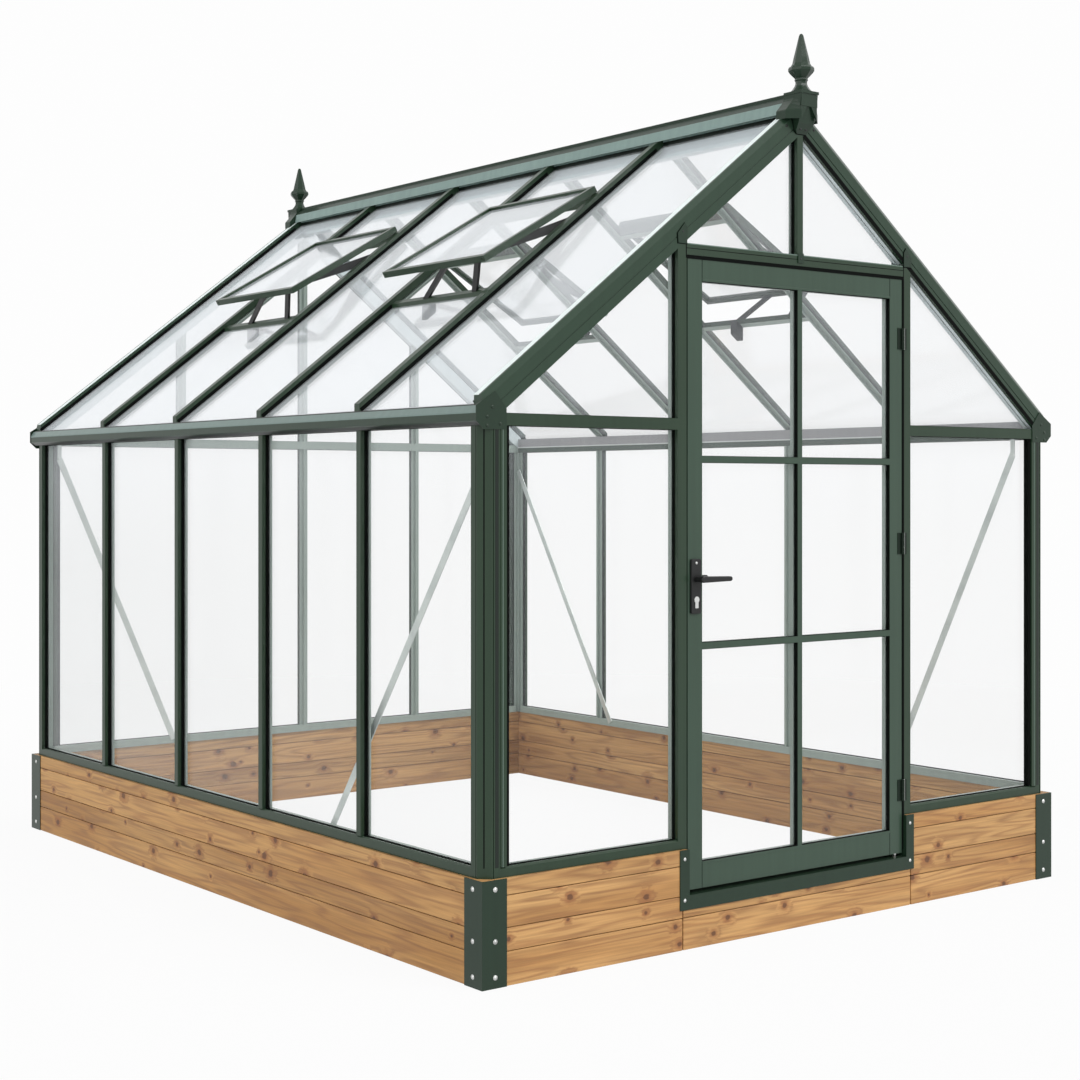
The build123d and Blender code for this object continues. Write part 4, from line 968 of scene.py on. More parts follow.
class BlockTree(RepeatTree):
    """Blocks with rounded edges, one at each point, turned and sized by the point."""

    name = "rounded_blocks"
    edge_draw = 0.29
    corner_draw = 0.13

    def sizes(self) -> list[tuple[str, str, object]]:
        """Edge radius and seed."""
        return [("Edge Radius", "NodeSocketFloat", 0.001), ("Seed", "NodeSocketInt", 7)]

    def shape(self) -> bpy.types.NodeSocket:
        """A cube grid whose outer rows are drawn in to round the edges.

        Returns:
            The realised blocks.
        """
        wiring = self.wiring
        cube = wiring.add(
            "GeometryNodeMeshCube",
            None,
            {"Size": (1.0, 1.0, 1.0), "Vertices X": 4, "Vertices Y": 4, "Vertices Z": 4},
        )
        marked = wiring.add(
            "GeometryNodeStoreNamedAttribute",
            {"data_type": "FLOAT_VECTOR", "domain": "POINT"},
            {
                "Geometry": cube.outputs["Mesh"],
                "Name": "unit",
                "Value": wiring.add("GeometryNodeInputPosition").outputs[0],
            },
        )
        toned = wiring.add(
            "GeometryNodeStoreNamedAttribute",
            {"data_type": "FLOAT", "domain": "POINT"},
            {
                "Geometry": self.entry.outputs["Points"],
                "Name": "board_tone",
                "Value": wiring.add(
                    "FunctionNodeRandomValue",
                    {"data_type": "FLOAT"},
                    {"Seed": self.entry.outputs["Seed"]},
                ).outputs[1],
            },
        )
        spread = wiring.add(
            "GeometryNodeInstanceOnPoints",
            None,
            {"Points": toned.outputs[0], "Instance": marked.outputs[0]},
        )
        real = wiring.add("GeometryNodeRealizeInstances", None, {0: spread.outputs[0]})
        unit = wiring.parts(self.stored("unit"))
        size = wiring.parts(self.stored("size"))
        outer = [part.magnitude().above(0.4) for part in unit]
        count = outer[0] + outer[1] + outer[2]
        edge = Signal(wiring, self.entry.outputs["Edge Radius"])
        drawn_in = count.above(1.5) * self.edge_draw + count.above(2.5) * self.corner_draw
        corners = []
        for part, length, is_outer in zip(unit, size, outer):
            inset = edge * (1.0 - is_outer * (1.0 - drawn_in))
            corners.append(part.maths("SIGN") * (length * 0.5 - inset))
        turned = wiring.add(
            "ShaderNodeVectorRotate",
            {"rotation_type": "EULER_XYZ"},
            {"Vector": wiring.joined(*corners), "Rotation": self.stored("turn")},
        )
        place = wiring.vector("ADD", turned.outputs[0], self.stored("middle"))
        moved = wiring.add(
            "GeometryNodeSetPosition", None, {"Geometry": real.outputs[0], "Position": place}
        )
        return moved.outputs[0]

    def make(
        self, name: str, blocks: Sequence[Block], finish: Finish, edge: float
    ) -> bpy.types.Object:
        """Makes one piece from blocks.

        Args:
            name: Name of the piece.
            blocks: The blocks.
            finish: Its finish.
            edge: Radius of the rounded edges.

        Returns:
            The piece.
        """
        columns = {
            "middle": [block.middle for block in blocks],
            "size": [block.size for block in blocks],
            "turn": [block.turn for block in blocks],
        }
        return self.bake(name, columns, finish, {"Edge Radius": edge})


class HeadTree(RepeatTree):
    """Domed heads on thin washers, one at each point, standing on the surface."""

    name = "fastener_heads"
    washer_depth = 0.24

    def sizes(self) -> list[tuple[str, str, object]]:
        """Height of the dome and width of the washer, as shares of the head's radius, and a seed.

        Returns:
            The inputs.
        """
        return [
            ("Dome Height", "NodeSocketFloat", 0.55),
            ("Washer Width", "NodeSocketFloat", 1.3),
            ("Spin Seed", "NodeSocketInt", 3),
        ]

    def shape(self) -> bpy.types.NodeSocket:
        """A flattened sphere on a disc, turned to face out and spun at random.

        Returns:
            The realised heads.
        """
        wiring = self.wiring
        dome = wiring.add(
            "GeometryNodeMeshUVSphere", None, {"Segments": 14, "Rings": 8, "Radius": 1.0}
        )
        height = self.entry.outputs["Dome Height"]
        domed = wiring.add(
            "GeometryNodeTransform",
            None,
            {"Geometry": dome.outputs["Mesh"], "Scale": wiring.joined(1.0, 1.0, height)},
        )
        washer = wiring.add(
            "GeometryNodeMeshCylinder",
            None,
            {
                "Vertices": 16,
                "Radius": self.entry.outputs["Washer Width"],
                "Depth": self.washer_depth,
            },
        )
        both = wiring.add("GeometryNodeJoinGeometry")
        wiring.feed(both.inputs[0], domed.outputs[0])
        wiring.feed(both.inputs[0], washer.outputs["Mesh"])
        spin = wiring.add(
            "FunctionNodeRandomValue",
            {"data_type": "FLOAT"},
            {3: math.tau, "Seed": self.entry.outputs["Spin Seed"]},
        )
        spun = wiring.add("FunctionNodeAxisAngleToRotation", None, {"Angle": spin.outputs[1]})
        faced = wiring.add(
            "FunctionNodeAlignRotationToVector",
            {"axis": "Z"},
            {"Rotation": spun.outputs[0], "Vector": self.stored("facing")},
        )
        radius = self.stored("radius", "FLOAT")
        spread = wiring.add(
            "GeometryNodeInstanceOnPoints",
            None,
            {
                "Points": self.entry.outputs["Points"],
                "Instance": both.outputs[0],
                "Rotation": faced.outputs[0],
                "Scale": wiring.joined(radius, radius, radius),
            },
        )
        return wiring.add("GeometryNodeRealizeInstances", None, {0: spread.outputs[0]}).outputs[0]

    def make(
        self, name: str, heads: Sequence[Head], finish: Finish, dome: float = 0.55
    ) -> bpy.types.Object:
        """Makes one piece from heads.

        Args:
            name: Name of the piece.
            heads: The heads.
            finish: Its finish.
            dome: Height of the dome as a share of the radius.

        Returns:
            The piece, smooth all over.
        """
        columns = {
            "middle": [head.seat for head in heads],
            "facing": [head.facing for head in heads],
            "radius": [head.radius for head in heads],
        }
        piece = self.bake(name, columns, finish, {"Dome Height": dome})
        piece.data.shade_smooth()
        return piece


@dataclass
class Workshop:
    """The trees that every sub-assembly draws on."""

    blocks: BlockTree
    heads: HeadTree


def settle(piece: bpy.types.Object, body: Body, slot: Slot, *stands_for: str) -> None:
    """Puts a finished piece on its body and reports it.

    Args:
        piece: The piece.
        body: Body that it rides on.
        slot: Not used.
        *stands_for: CAD nodes that it stands for.
    """
    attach(piece, body.value)
    if stands_for:
        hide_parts(*stands_for)
    LOG.info("%s: %d faces on %s", piece.name, len(piece.data.polygons), body.value)


# The building's own sizes


@dataclass(frozen=True)
class Building:
    """Sizes that the sub-assemblies share, read from the frame where it gives them."""

    half_width: float
    half_length: float
    plinth_top: float
    rail_top: float
    eaves: float
    bay: float = 0.62
    bays: int = 5
    gable_bay: float = 0.61
    gable_bays: int = 4
    corner_reach: float = 0.04
    pitch: float = ROOF_PITCH
    beam: float = 0.0305
    cap: float = 0.028
    slot_top: float = 0.025
    depth: float = 0.045
    post: float = 0.06
    rafter: float = 0.08
    transom: float = 0.035
    opening: float = 0.984
    door_post: float = 0.036
    vent_hinge: float = 0.308
    vent_foot: float = 0.735

    @classmethod
    def measured(cls) -> "Building":
        """Reads the outer sizes from the frame.

        Returns:
            The building's sizes.
        """
        posts_low, posts_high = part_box("corner_posts")
        return cls(
            half_width=posts_high.x,
            half_length=posts_high.y,
            plinth_top=posts_low.z,
            rail_top=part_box("base_rails")[1].z,
            eaves=posts_high.z,
        )

    @property
    def apex(self) -> float:
        """Height at which the outer planes of the two slopes meet."""
        rise = self.half_width * math.tan(self.pitch)
        return self.eaves + self.beam + self.depth / math.cos(self.pitch) + rise

    def roof(self, x: float, drop: float = 0.0) -> float:
        """Height of the line that lies a drop below the outer roof plane."""
        return self.apex - abs(x) * math.tan(self.pitch) - drop / math.cos(self.pitch)

    @property
    def bar_lines(self) -> list[float]:
        """Y of the glazing bars of walls and roof."""
        first = -self.half_length + self.corner_reach
        return [first + self.bay * number for number in range(1, self.bays)]

    @property
    def gable_lines(self) -> list[float]:
        """X of the glazing bars of the back gable."""
        first = -self.half_width + self.corner_reach
        return [first + self.gable_bay * number for number in range(1, self.gable_bays)]

    def slope(self, side: int, inner: float, outer: float, drop: Span, y: Span) -> Block:
        """A block that lies along one slope of the roof.

        Args:
            side: -1 for the left slope and 1 for the right one.
            inner: Distance of its upper end from the middle plane.
            outer: Distance of its lower end from the middle plane.
            drop: Its upper and lower faces, below the outer roof plane.
            y: Its two sides along the building.

        Returns:
            The block.
        """
        middle_drop = sum(drop) / 2
        start = (side * inner, self.roof(inner, middle_drop))
        end = (side * outer, self.roof(outer, middle_drop))
        run = end[0] - start[0]
        rise = end[1] - start[1]
        middle = ((start[0] + end[0]) / 2, sum(y) / 2, (start[1] + end[1]) / 2)
        size = (math.hypot(run, rise), abs(y[1] - y[0]), abs(drop[1] - drop[0]))
        return Block(middle, size, (0.0, -math.atan2(rise, run), 0.0))


def between(x: Span, y: Span, z: Span) -> Block:
    """An unturned block between two corners, whose ends may come in either order.

    Args:
        x: Both ends across the gable.
        y: Both ends along the ridge.
        z: Both ends upwards.

    Returns:
        The block.
    """
    middle = tuple((low + high) / 2 for low, high in (x, y, z))
    size = tuple(abs(high - low) for low, high in (x, y, z))
    return Block(middle, size)


def band(level: float, offsets: Span) -> Span:
    """Both edges of a band, from a level and their offsets from it."""
    return (level + offsets[0], level + offsets[1])


# Sub-assemblies


@dataclass
class Plinth:
    """Timber plinth: four courses of boards, with the bolts of its metal angles."""

    building: Building
    shop: Workshop
    courses: tuple[float, ...] = (0.099, 0.067, 0.092)
    least_course: float = 0.01
    gap: float = 0.002
    edge: float = 0.0022
    tongue: float = 0.014
    tongue_band: Span = (-0.008, 0.008)
    end_inset: float = 0.004
    jamb_inset: float = 0.003
    angle_joint: float = 0.0025
    bolt_radius: float = 0.0058
    bolt_heights: Triple = (0.031, 0.132, 0.279)
    bolt_inset: float = 0.046
    screw_radius: float = 0.0042
    screw_offset: float = 0.019
    screw_above_sill: float = 0.03
    screw_below_top: float = 0.028

    def levels(self, top: float) -> list[Span]:
        """Foot and head of each course up to a height.

        Args:
            top: Height at which the last course ends.

        Returns:
            Both heights of each course, from the ground up.
        """
        edges = [0.0]
        for height in self.courses:
            if edges[-1] + height < top - self.least_course:
                edges.append(edges[-1] + height)
        edges.append(top)
        return list(zip(edges, edges[1:]))

    def wall(self, x: Span, y: Span, z: Span) -> list[Block]:
        """Boards of one length of wall, with a hidden tongue behind each joint.

        Args:
            x: Both ends across the gable, the lower one first.
            y: Both ends along the ridge, the lower one first.
            z: Foot and head.

        Returns:
            The boards and tongues, from the foot up.
        """
        is_long = x[1] - x[0] < y[1] - y[0]
        x_inset, y_inset = (self.tongue, self.end_inset) if is_long else (self.end_inset, self.tongue)
        tongue_x = (x[0] + x_inset, x[1] - x_inset)
        tongue_y = (y[0] + y_inset, y[1] - y_inset)
        blocks = []
        for low, high in self.levels(z[1]):
            if high <= z[0] + self.gap:
                continue
            head_gap = 0.0 if high == z[1] else self.gap
            blocks.append(between(x, y, (max(low, z[0]), high - head_gap)))
            if head_gap:
                blocks.append(between(tongue_x, tongue_y, band(high, self.tongue_band)))
        return blocks

    def keep(self, name: str, boards: Sequence[Block], finish: Finish, *nodes: str) -> None:
        """Makes one piece of timber from its boards, in place of CAD nodes."""
        piece = self.shop.blocks.make(name, boards, finish, self.edge)
        settle(piece, Body.GREENHOUSE, Slot.TIMBER, *nodes)

    def long_walls(self) -> None:
        """Boards of the two long sides."""
        low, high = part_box("plinth_sides")
        back_low, back_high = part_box("plinth_back")
        thickness = back_high.y - back_low.y
        boards = []
        for x in ((low.x, low.x + thickness), (high.x - thickness, high.x)):
            boards += self.wall(x, (low.y, high.y), (0.0, high.z))
        self.keep("plinth_boards_long", boards, BOARDS_ALONG, "plinth_sides")

    def short_walls(self) -> None:
        """Boards of the back, of the front beside the door, and of the door step."""
        back_low, back_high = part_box("plinth_back")
        front_low, front_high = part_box("plinth_front")
        step_low, step_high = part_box("door_step")
        sill_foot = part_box("door_sill")[0].z
        half = self.building.opening / 2
        y = (front_low.y, front_high.y)
        boards = self.wall((back_low.x, back_high.x), (back_low.y, back_high.y), (0.0, back_high.z))
        for side in (-1, 1):
            x = sorted((side * front_high.x, side * (step_high.x + self.angle_joint)))
            boards += self.wall(tuple(x), y, (0.0, front_high.z))
            jamb_x = (side * (half + self.jamb_inset), side * step_high.x)
            boards.append(between(jamb_x, y, (sill_foot, front_high.z)))
        joint = self.courses[0]
        step_x = (step_low.x + self.gap / 2, step_high.x - self.gap / 2)
        step_y = (step_low.y, step_high.y)
        tongue_y = (step_low.y + self.tongue, step_high.y - self.tongue)
        core_y = (step_low.y + self.end_inset, step_high.y - self.end_inset)
        boards += [
            between(step_x, step_y, (0.0, joint - self.gap)),
            between(step_x, tongue_y, band(joint, self.tongue_band)),
            between(step_x, step_y, (joint, sill_foot)),
            between((-half, half), core_y, (sill_foot, step_high.z)),
        ]
        nodes = ("plinth_back", "plinth_front", "door_step")
        self.keep("plinth_boards_short", boards, BOARDS_ACROSS, *nodes)

    def bolts(self) -> None:
        """Bright bolts on both faces of each corner angle and on the door angles."""
        low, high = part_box("plinth_angles")
        heads = []
        for x_side in (-1, 1):
            for y_side in (-1, 1):
                x = x_side * (high.x - self.bolt_inset)
                y = y_side * (high.y - self.bolt_inset)
                for height in self.bolt_heights:
                    on_gable = (x, y_side * high.y, height)
                    on_side = (x_side * high.x, y, height)
                    heads.append(Head(on_gable, (0, y_side, 0), self.bolt_radius))
                    heads.append(Head(on_side, (x_side, 0, 0), self.bolt_radius))
        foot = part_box("door_sill")[0].z + self.screw_above_sill
        head = self.building.plinth_top - self.screw_below_top
        for side in (-1, 1):
            x = side * (self.building.opening / 2 + self.screw_offset)
            for height in (foot, head):
                heads.append(Head((x, low.y, height), (0, -1, 0), self.screw_radius))
        piece = self.shop.heads.make("plinth_bolts", heads, STEEL)
        settle(piece, Body.GREENHOUSE, Slot.METALWORK)

    def build(self) -> None:
        """Long walls, short walls, then the bolts."""
        self.long_walls()
        self.short_walls()
        self.bolts()


@dataclass
class Gaskets:
    """Black glazing rubber beside every bar, post, rail and rafter."""

    building: Building
    shop: Workshop
    thick: float = 0.0016
    tall: float = 0.012
    edge: float = 0.0004
    ridge_gap: float = 0.05
    vent_gap: float = 0.008
    vent_bays: tuple[int, int] = (1, 3)
    header_end: float = 0.47

    def strip(self, face: Face, run: Span, z: Span) -> Block:
        """A strip that lies against the outer side of a wall's glass.

        Args:
            face: Wall that it is on.
            run: Both its ends along the wall.
            z: Both its ends upwards.

        Returns:
            The strip.
        """
        axis, sign = face.value
        half = (self.building.half_width, self.building.half_length)[axis]
        glass = sign * (half - self.building.slot_top)
        depth = (glass, glass + sign * self.tall)
        x, y = (depth, run) if axis == 0 else (run, depth)
        return between(x, y, z)

    def upright(self, face: Face, edge: float, toward: int, z: Span) -> Block:
        """A strip on the side of a bar; toward is 1 or -1, the way from the bar to the glass."""
        return self.strip(face, (edge, edge + toward * self.thick), z)

    def level(self, face: Face, z: float, toward: int, run: Span) -> Block:
        """A strip on the edge of a rail or transom; toward is 1 up and -1 down."""
        return self.strip(face, run, (z, z + toward * self.thick))

    def pane(self, face: Face, bay: Span) -> list[Block]:
        """The four strips round one pane between the base rail and the eaves.

        Args:
            face: Wall that the pane is in.
            bay: Both edges of the pane along the wall.

        Returns:
            The strips: two upright, then two level.
        """
        z = (self.building.rail_top, self.building.eaves)
        uprights = [self.upright(face, bay[0], 1, z), self.upright(face, bay[1], -1, z)]
        return uprights + [self.level(face, z[0], 1, bay), self.level(face, z[1], -1, bay)]

    def bays(self, lines: Sequence[float], end: float) -> list[Span]:
        """Both edges of each pane along a wall.

        Args:
            lines: Middle lines of the wall's bars.
            end: Distance from the middle plane to the outermost edges.

        Returns:
            The edges of each pane.
        """
        half_cap = self.building.cap / 2
        edges = [-end] + [line + side * half_cap for line in lines for side in (-1, 1)] + [end]
        return list(zip(edges[::2], edges[1::2]))

    def walls(self) -> Iterable[Block]:
        """Strips of the long walls.

        Returns:
            The strips, wall by wall.
        """
        house = self.building
        for face in (Face.LEFT, Face.RIGHT):
            for bay in self.bays(house.bar_lines, house.half_length - house.post):
                yield from self.pane(face, bay)

    def gable(self, face: Face, bays: Iterable[Span]) -> Iterable[Block]:
        """Strips of one gable, below and above its transoms.

        Args:
            face: The gable.
            bays: Both edges of each of its panes.

        Returns:
            The strips, pane by pane.
        """
        house = self.building
        top = house.eaves + house.transom
        under = house.roof(0.0, house.rafter + self.tall)
        reach = (under - top) / math.tan(house.pitch)
        for start, end in bays:
            yield from self.pane(face, (start, end))
            yield self.level(face, top, 1, (max(start, -reach), min(end, reach)))
            for edge, toward in ((start, 1), (end, -1)):
                if abs(edge) < reach:
                    yield self.upright(face, edge, toward, (top, house.roof(edge, house.rafter)))

    def slopes(self) -> Iterable[Block]:
        """Strips of the roof glass, left out along the vents.

        Returns:
            The strips, slope by slope.
        """
        house = self.building
        drop = (house.slot_top - self.tall, house.slot_top)
        bays = self.bays(house.bar_lines, house.half_length - house.depth)
        above_vent = (self.ridge_gap, house.vent_hinge - self.vent_gap)
        below_vent = (house.vent_foot + self.vent_gap, house.half_width)
        for side in (-1, 1):
            for number, (start, end) in enumerate(bays):
                spans = [(self.ridge_gap, house.half_width)]
                if number in self.vent_bays:
                    spans = [above_vent, below_vent]
                for inner, outer in spans:
                    yield house.slope(side, inner, outer, drop, (start, start + self.thick))
                    yield house.slope(side, inner, outer, drop, (end - self.thick, end))

    def build(self) -> None:
        """All strips, as one piece for the walls and one for the slopes."""
        house = self.building
        post_edge = house.half_width - house.post
        door_edge = house.opening / 2 + house.door_post
        front = ((-post_edge, -door_edge), (door_edge, post_edge))
        strips = list(self.walls())
        strips += self.gable(Face.FRONT, front)
        strips += self.gable(Face.BACK, self.bays(house.gable_lines, post_edge))
        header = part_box("peak_mullion")[0].z
        half_cap = house.cap / 2
        peak = (header, house.roof(half_cap, house.rafter))
        for side in (-1, 1):
            strips.append(self.upright(Face.FRONT, side * half_cap, side, peak))
            run = (side * half_cap, side * self.header_end)
            strips.append(self.level(Face.FRONT, header, 1, run))
        for name, blocks in (("wall_gaskets", strips), ("roof_gaskets", list(self.slopes()))):
            piece = self.shop.blocks.make(name, blocks, RUBBER, self.edge)
            settle(piece, Body.GREENHOUSE, Slot.BLACK)


@dataclass(frozen=True)
class PostStrip:
    """A strip up a post's gable face: its edges from the post's inner side, and how far it stands out."""

    name: str
    near: float
    far: float
    proud: float
    finish: Finish
    slot: Slot


@dataclass
class Trims:
    """Small parts of the walls: rivets, the cover strips of the posts, dark joint lines, and strips of
    painted shade and painted highlight.
    """

    building: Building
    shop: Workshop
    proud: float = 0.0004
    sunk: float = 0.002
    edge: float = 0.0002
    rivets: tuple[Span, ...] = ((0.012, -0.002), (0.012, 0.024), (0.058, 0.004), (0.03, 0.052))
    rivet_radius: float = 0.0045
    rivet_dome: float = 0.5
    post_edge: float = 0.0003
    post_strips: tuple[PostStrip, ...] = (
        PostStrip("post_cover_strips", -0.022, 0.0, 0.0015, GREEN, Slot.FRAME),
        PostStrip("post_shadow_joints", -0.034, -0.022, -0.004, RUBBER, Slot.BLACK),
        # The recessed faces get a dark strip of painted shade; the edge glints are painted highlight.
        PostStrip("post_recessed_faces", 0.006, 0.0185, 0.0004, SHADE_GREEN, Slot.FRAME),
        PostStrip("post_edge_glints", -0.0095, -0.007, 0.0022, EDGE_GREEN, Slot.FRAME),
    )
    chamfer_inset: Span = (0.0141, 0.0159)
    chamfer_line: Span = (0.0014, 0.0034)
    rebate_start: float = 0.015
    rebate_end: float = 0.075
    rebate_drop: Span = (0.064, 0.0795)
    joint_under_header: Span = (-0.001, 0.009)
    joint_in_header: Span = (-0.0155, -0.0135)
    joint_beside_leaf: Span = (-0.0045, 0.004)
    joint_at_header_end: Span = (-0.0005, 0.003)
    joint_over_header: float = 0.006
    glint_band: Span = (-0.0025, 0.0008)
    glint_inset: float = 0.004

    def end_plate_rivets(self) -> None:
        """Rivets of the four eaves end plates."""
        house = self.building
        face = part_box("eaves_end_plates")[1].y
        heads = []
        for side in (-1, 1):
            for gable in (-1, 1):
                for inward, up in self.rivets:
                    seat = (side * (house.half_width - inward), gable * face, house.eaves + up)
                    heads.append(Head(seat, (0, gable, 0), self.rivet_radius))
        piece = self.shop.heads.make("end_plate_rivets", heads, DEEP_GREEN, self.rivet_dome)
        settle(piece, Body.GREENHOUSE, Slot.METALWORK)

    def chamfer_joint(self, side: int, gable: int, z: Span) -> Block:
        """A dark line up the chamfer of one corner post.

        Args:
            side: -1 for the left posts and 1 for the right ones.
            gable: -1 for the front posts and 1 for the back ones.
            z: Foot and head.

        Returns:
            The line, turned by half a right angle.
        """
        x = side * (self.building.half_width - self.chamfer_inset[0])
        y = gable * (self.building.half_length - self.chamfer_inset[1])
        size = (*self.chamfer_line, z[1] - z[0])
        return Block((x, y, sum(z) / 2), size, (0.0, 0.0, math.radians(45 * side * gable)))

    def post_faces(self) -> None:
        """Cover strips, shadow joints, painted shade on the recessed faces and painted highlight glints on
        the edges of the four corner posts.
        """
        house = self.building
        z = (house.rail_top, house.eaves)
        inner = house.half_width - house.post
        for strip in self.post_strips:
            blocks = []
            for side in (-1, 1):
                for gable in (-1, 1):
                    face = gable * house.half_length
                    x = (side * (inner + strip.near), side * (inner + strip.far))
                    y = (face + gable * strip.proud, face - gable * house.slot_top)
                    blocks.append(between(x, y, z))
                    if strip.slot is Slot.BLACK:
                        blocks.append(self.chamfer_joint(side, gable, z))
            piece = self.shop.blocks.make(strip.name, blocks, strip.finish, self.post_edge)
            settle(piece, Body.GREENHOUSE, strip.slot)

    def rafter_rebates(self) -> None:
        """Black strip of painted shade along the lower edge of one rafter of each gable, where the rebate's
        underside lies in shade.
        """
        house = self.building
        strips = []
        for side in (-1, 1):
            face = -side * house.half_length
            y = (face - side * self.proud, face + side * self.sunk)
            end = house.half_width - self.rebate_end
            strips.append(house.slope(side, self.rebate_start, end, self.rebate_drop, y))
        piece = self.shop.blocks.make("rafter_rebates", strips, RUBBER, self.edge)
        settle(piece, Body.GREENHOUSE, Slot.BLACK)

    def header_lines(self) -> None:
        """Dark joints round the door opening, painted black to stand in for the shade inside them too, and
        a painted highlight line along the header's top.
        """
        low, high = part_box("door_header")
        front = band(low.y, (-self.proud, self.sunk))
        half = self.building.opening / 2
        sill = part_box("door_sill")[1].z
        run = (-half, half)
        header = (low.z, high.z + self.joint_over_header)
        right_end = band(half, self.joint_at_header_end)
        left_end = (-right_end[0], -right_end[1])
        # Dark joints that are also painted shade: black strips stand in for the shade inside the gaps.
        dark = [
            between(run, front, band(low.z, self.joint_under_header)),
            between(run, front, band(high.z, self.joint_in_header)),
            between(band(half, self.joint_beside_leaf), front, (sill, low.z)),
            between(right_end, front, header),
            between(left_end, front, header),
        ]
        piece = self.shop.blocks.make("opening_joints", dark, RUBBER, self.edge)
        settle(piece, Body.GREENHOUSE, Slot.BLACK)
        glint_x = (-half + self.glint_inset, half - self.glint_inset)
        light = [between(glint_x, front, band(high.z, self.glint_band))]
        piece = self.shop.blocks.make("header_edge_glint", light, EDGE_GREEN, self.edge)
        settle(piece, Body.GREENHOUSE, Slot.FRAME)

    def build(self) -> None:
        """Rivets of the end plates, then the strips on posts, rafters and header."""
        self.end_plate_rivets()
        self.post_faces()
        self.rafter_rebates()
        self.header_lines()


@dataclass(frozen=True)
class Plate:
    """A flat plate in an X-Z plane: its outline, and both its faces along the building."""

    outline: tuple[Span, ...]
    y: Span
    lean: float = 0.0
    nose: float = 9.0
    lean_rise: float = 0.055

    def mirrored(self) -> "Plate":
        """The same plate on the other side of the middle plane."""
        return replace(self, outline=tuple((-x, z) for x, z in self.outline))

    def moved_back(self) -> "Plate":
        """The same plate on the other gable."""
        return replace(self, y=(-self.y[1], -self.y[0]))

    def shadow(self, y: Span, about: Span, wider: float, taller: float, drop: float = 0.0) -> "Plate":
        """A flat plate behind this one that shows round its edge as a painted shadow.

        Args:
            y: Both its faces along the building.
            about: X and Z of the place that it is scaled about.
            wider: Its width as a share of this plate's.
            taller: Its height as a share of this plate's.
            drop: How far it is lowered.

        Returns:
            The plate.
        """
        middle_x, middle_z = about
        grown = [
            (middle_x + (x - middle_x) * wider, middle_z - drop + (z - middle_z) * taller)
            for x, z in self.outline
        ]
        return Plate(tuple(grown), y)

    def corner(self, x: float, y: float, z: float) -> Triple:
        """A corner, where the outer face leans out upwards and is no wider than its nose.

        Args:
            x: Its place across the gable.
            y: The face that it is on.
            z: Its height.

        Returns:
            The corner's place.
        """
        if abs(y) < max(abs(side) for side in self.y):
            return (x, y, z)
        rise = min(z - min(height for _, height in self.outline), self.lean_rise)
        return (max(-self.nose, min(self.nose, x)), y + math.copysign(self.lean * rise, y), z)


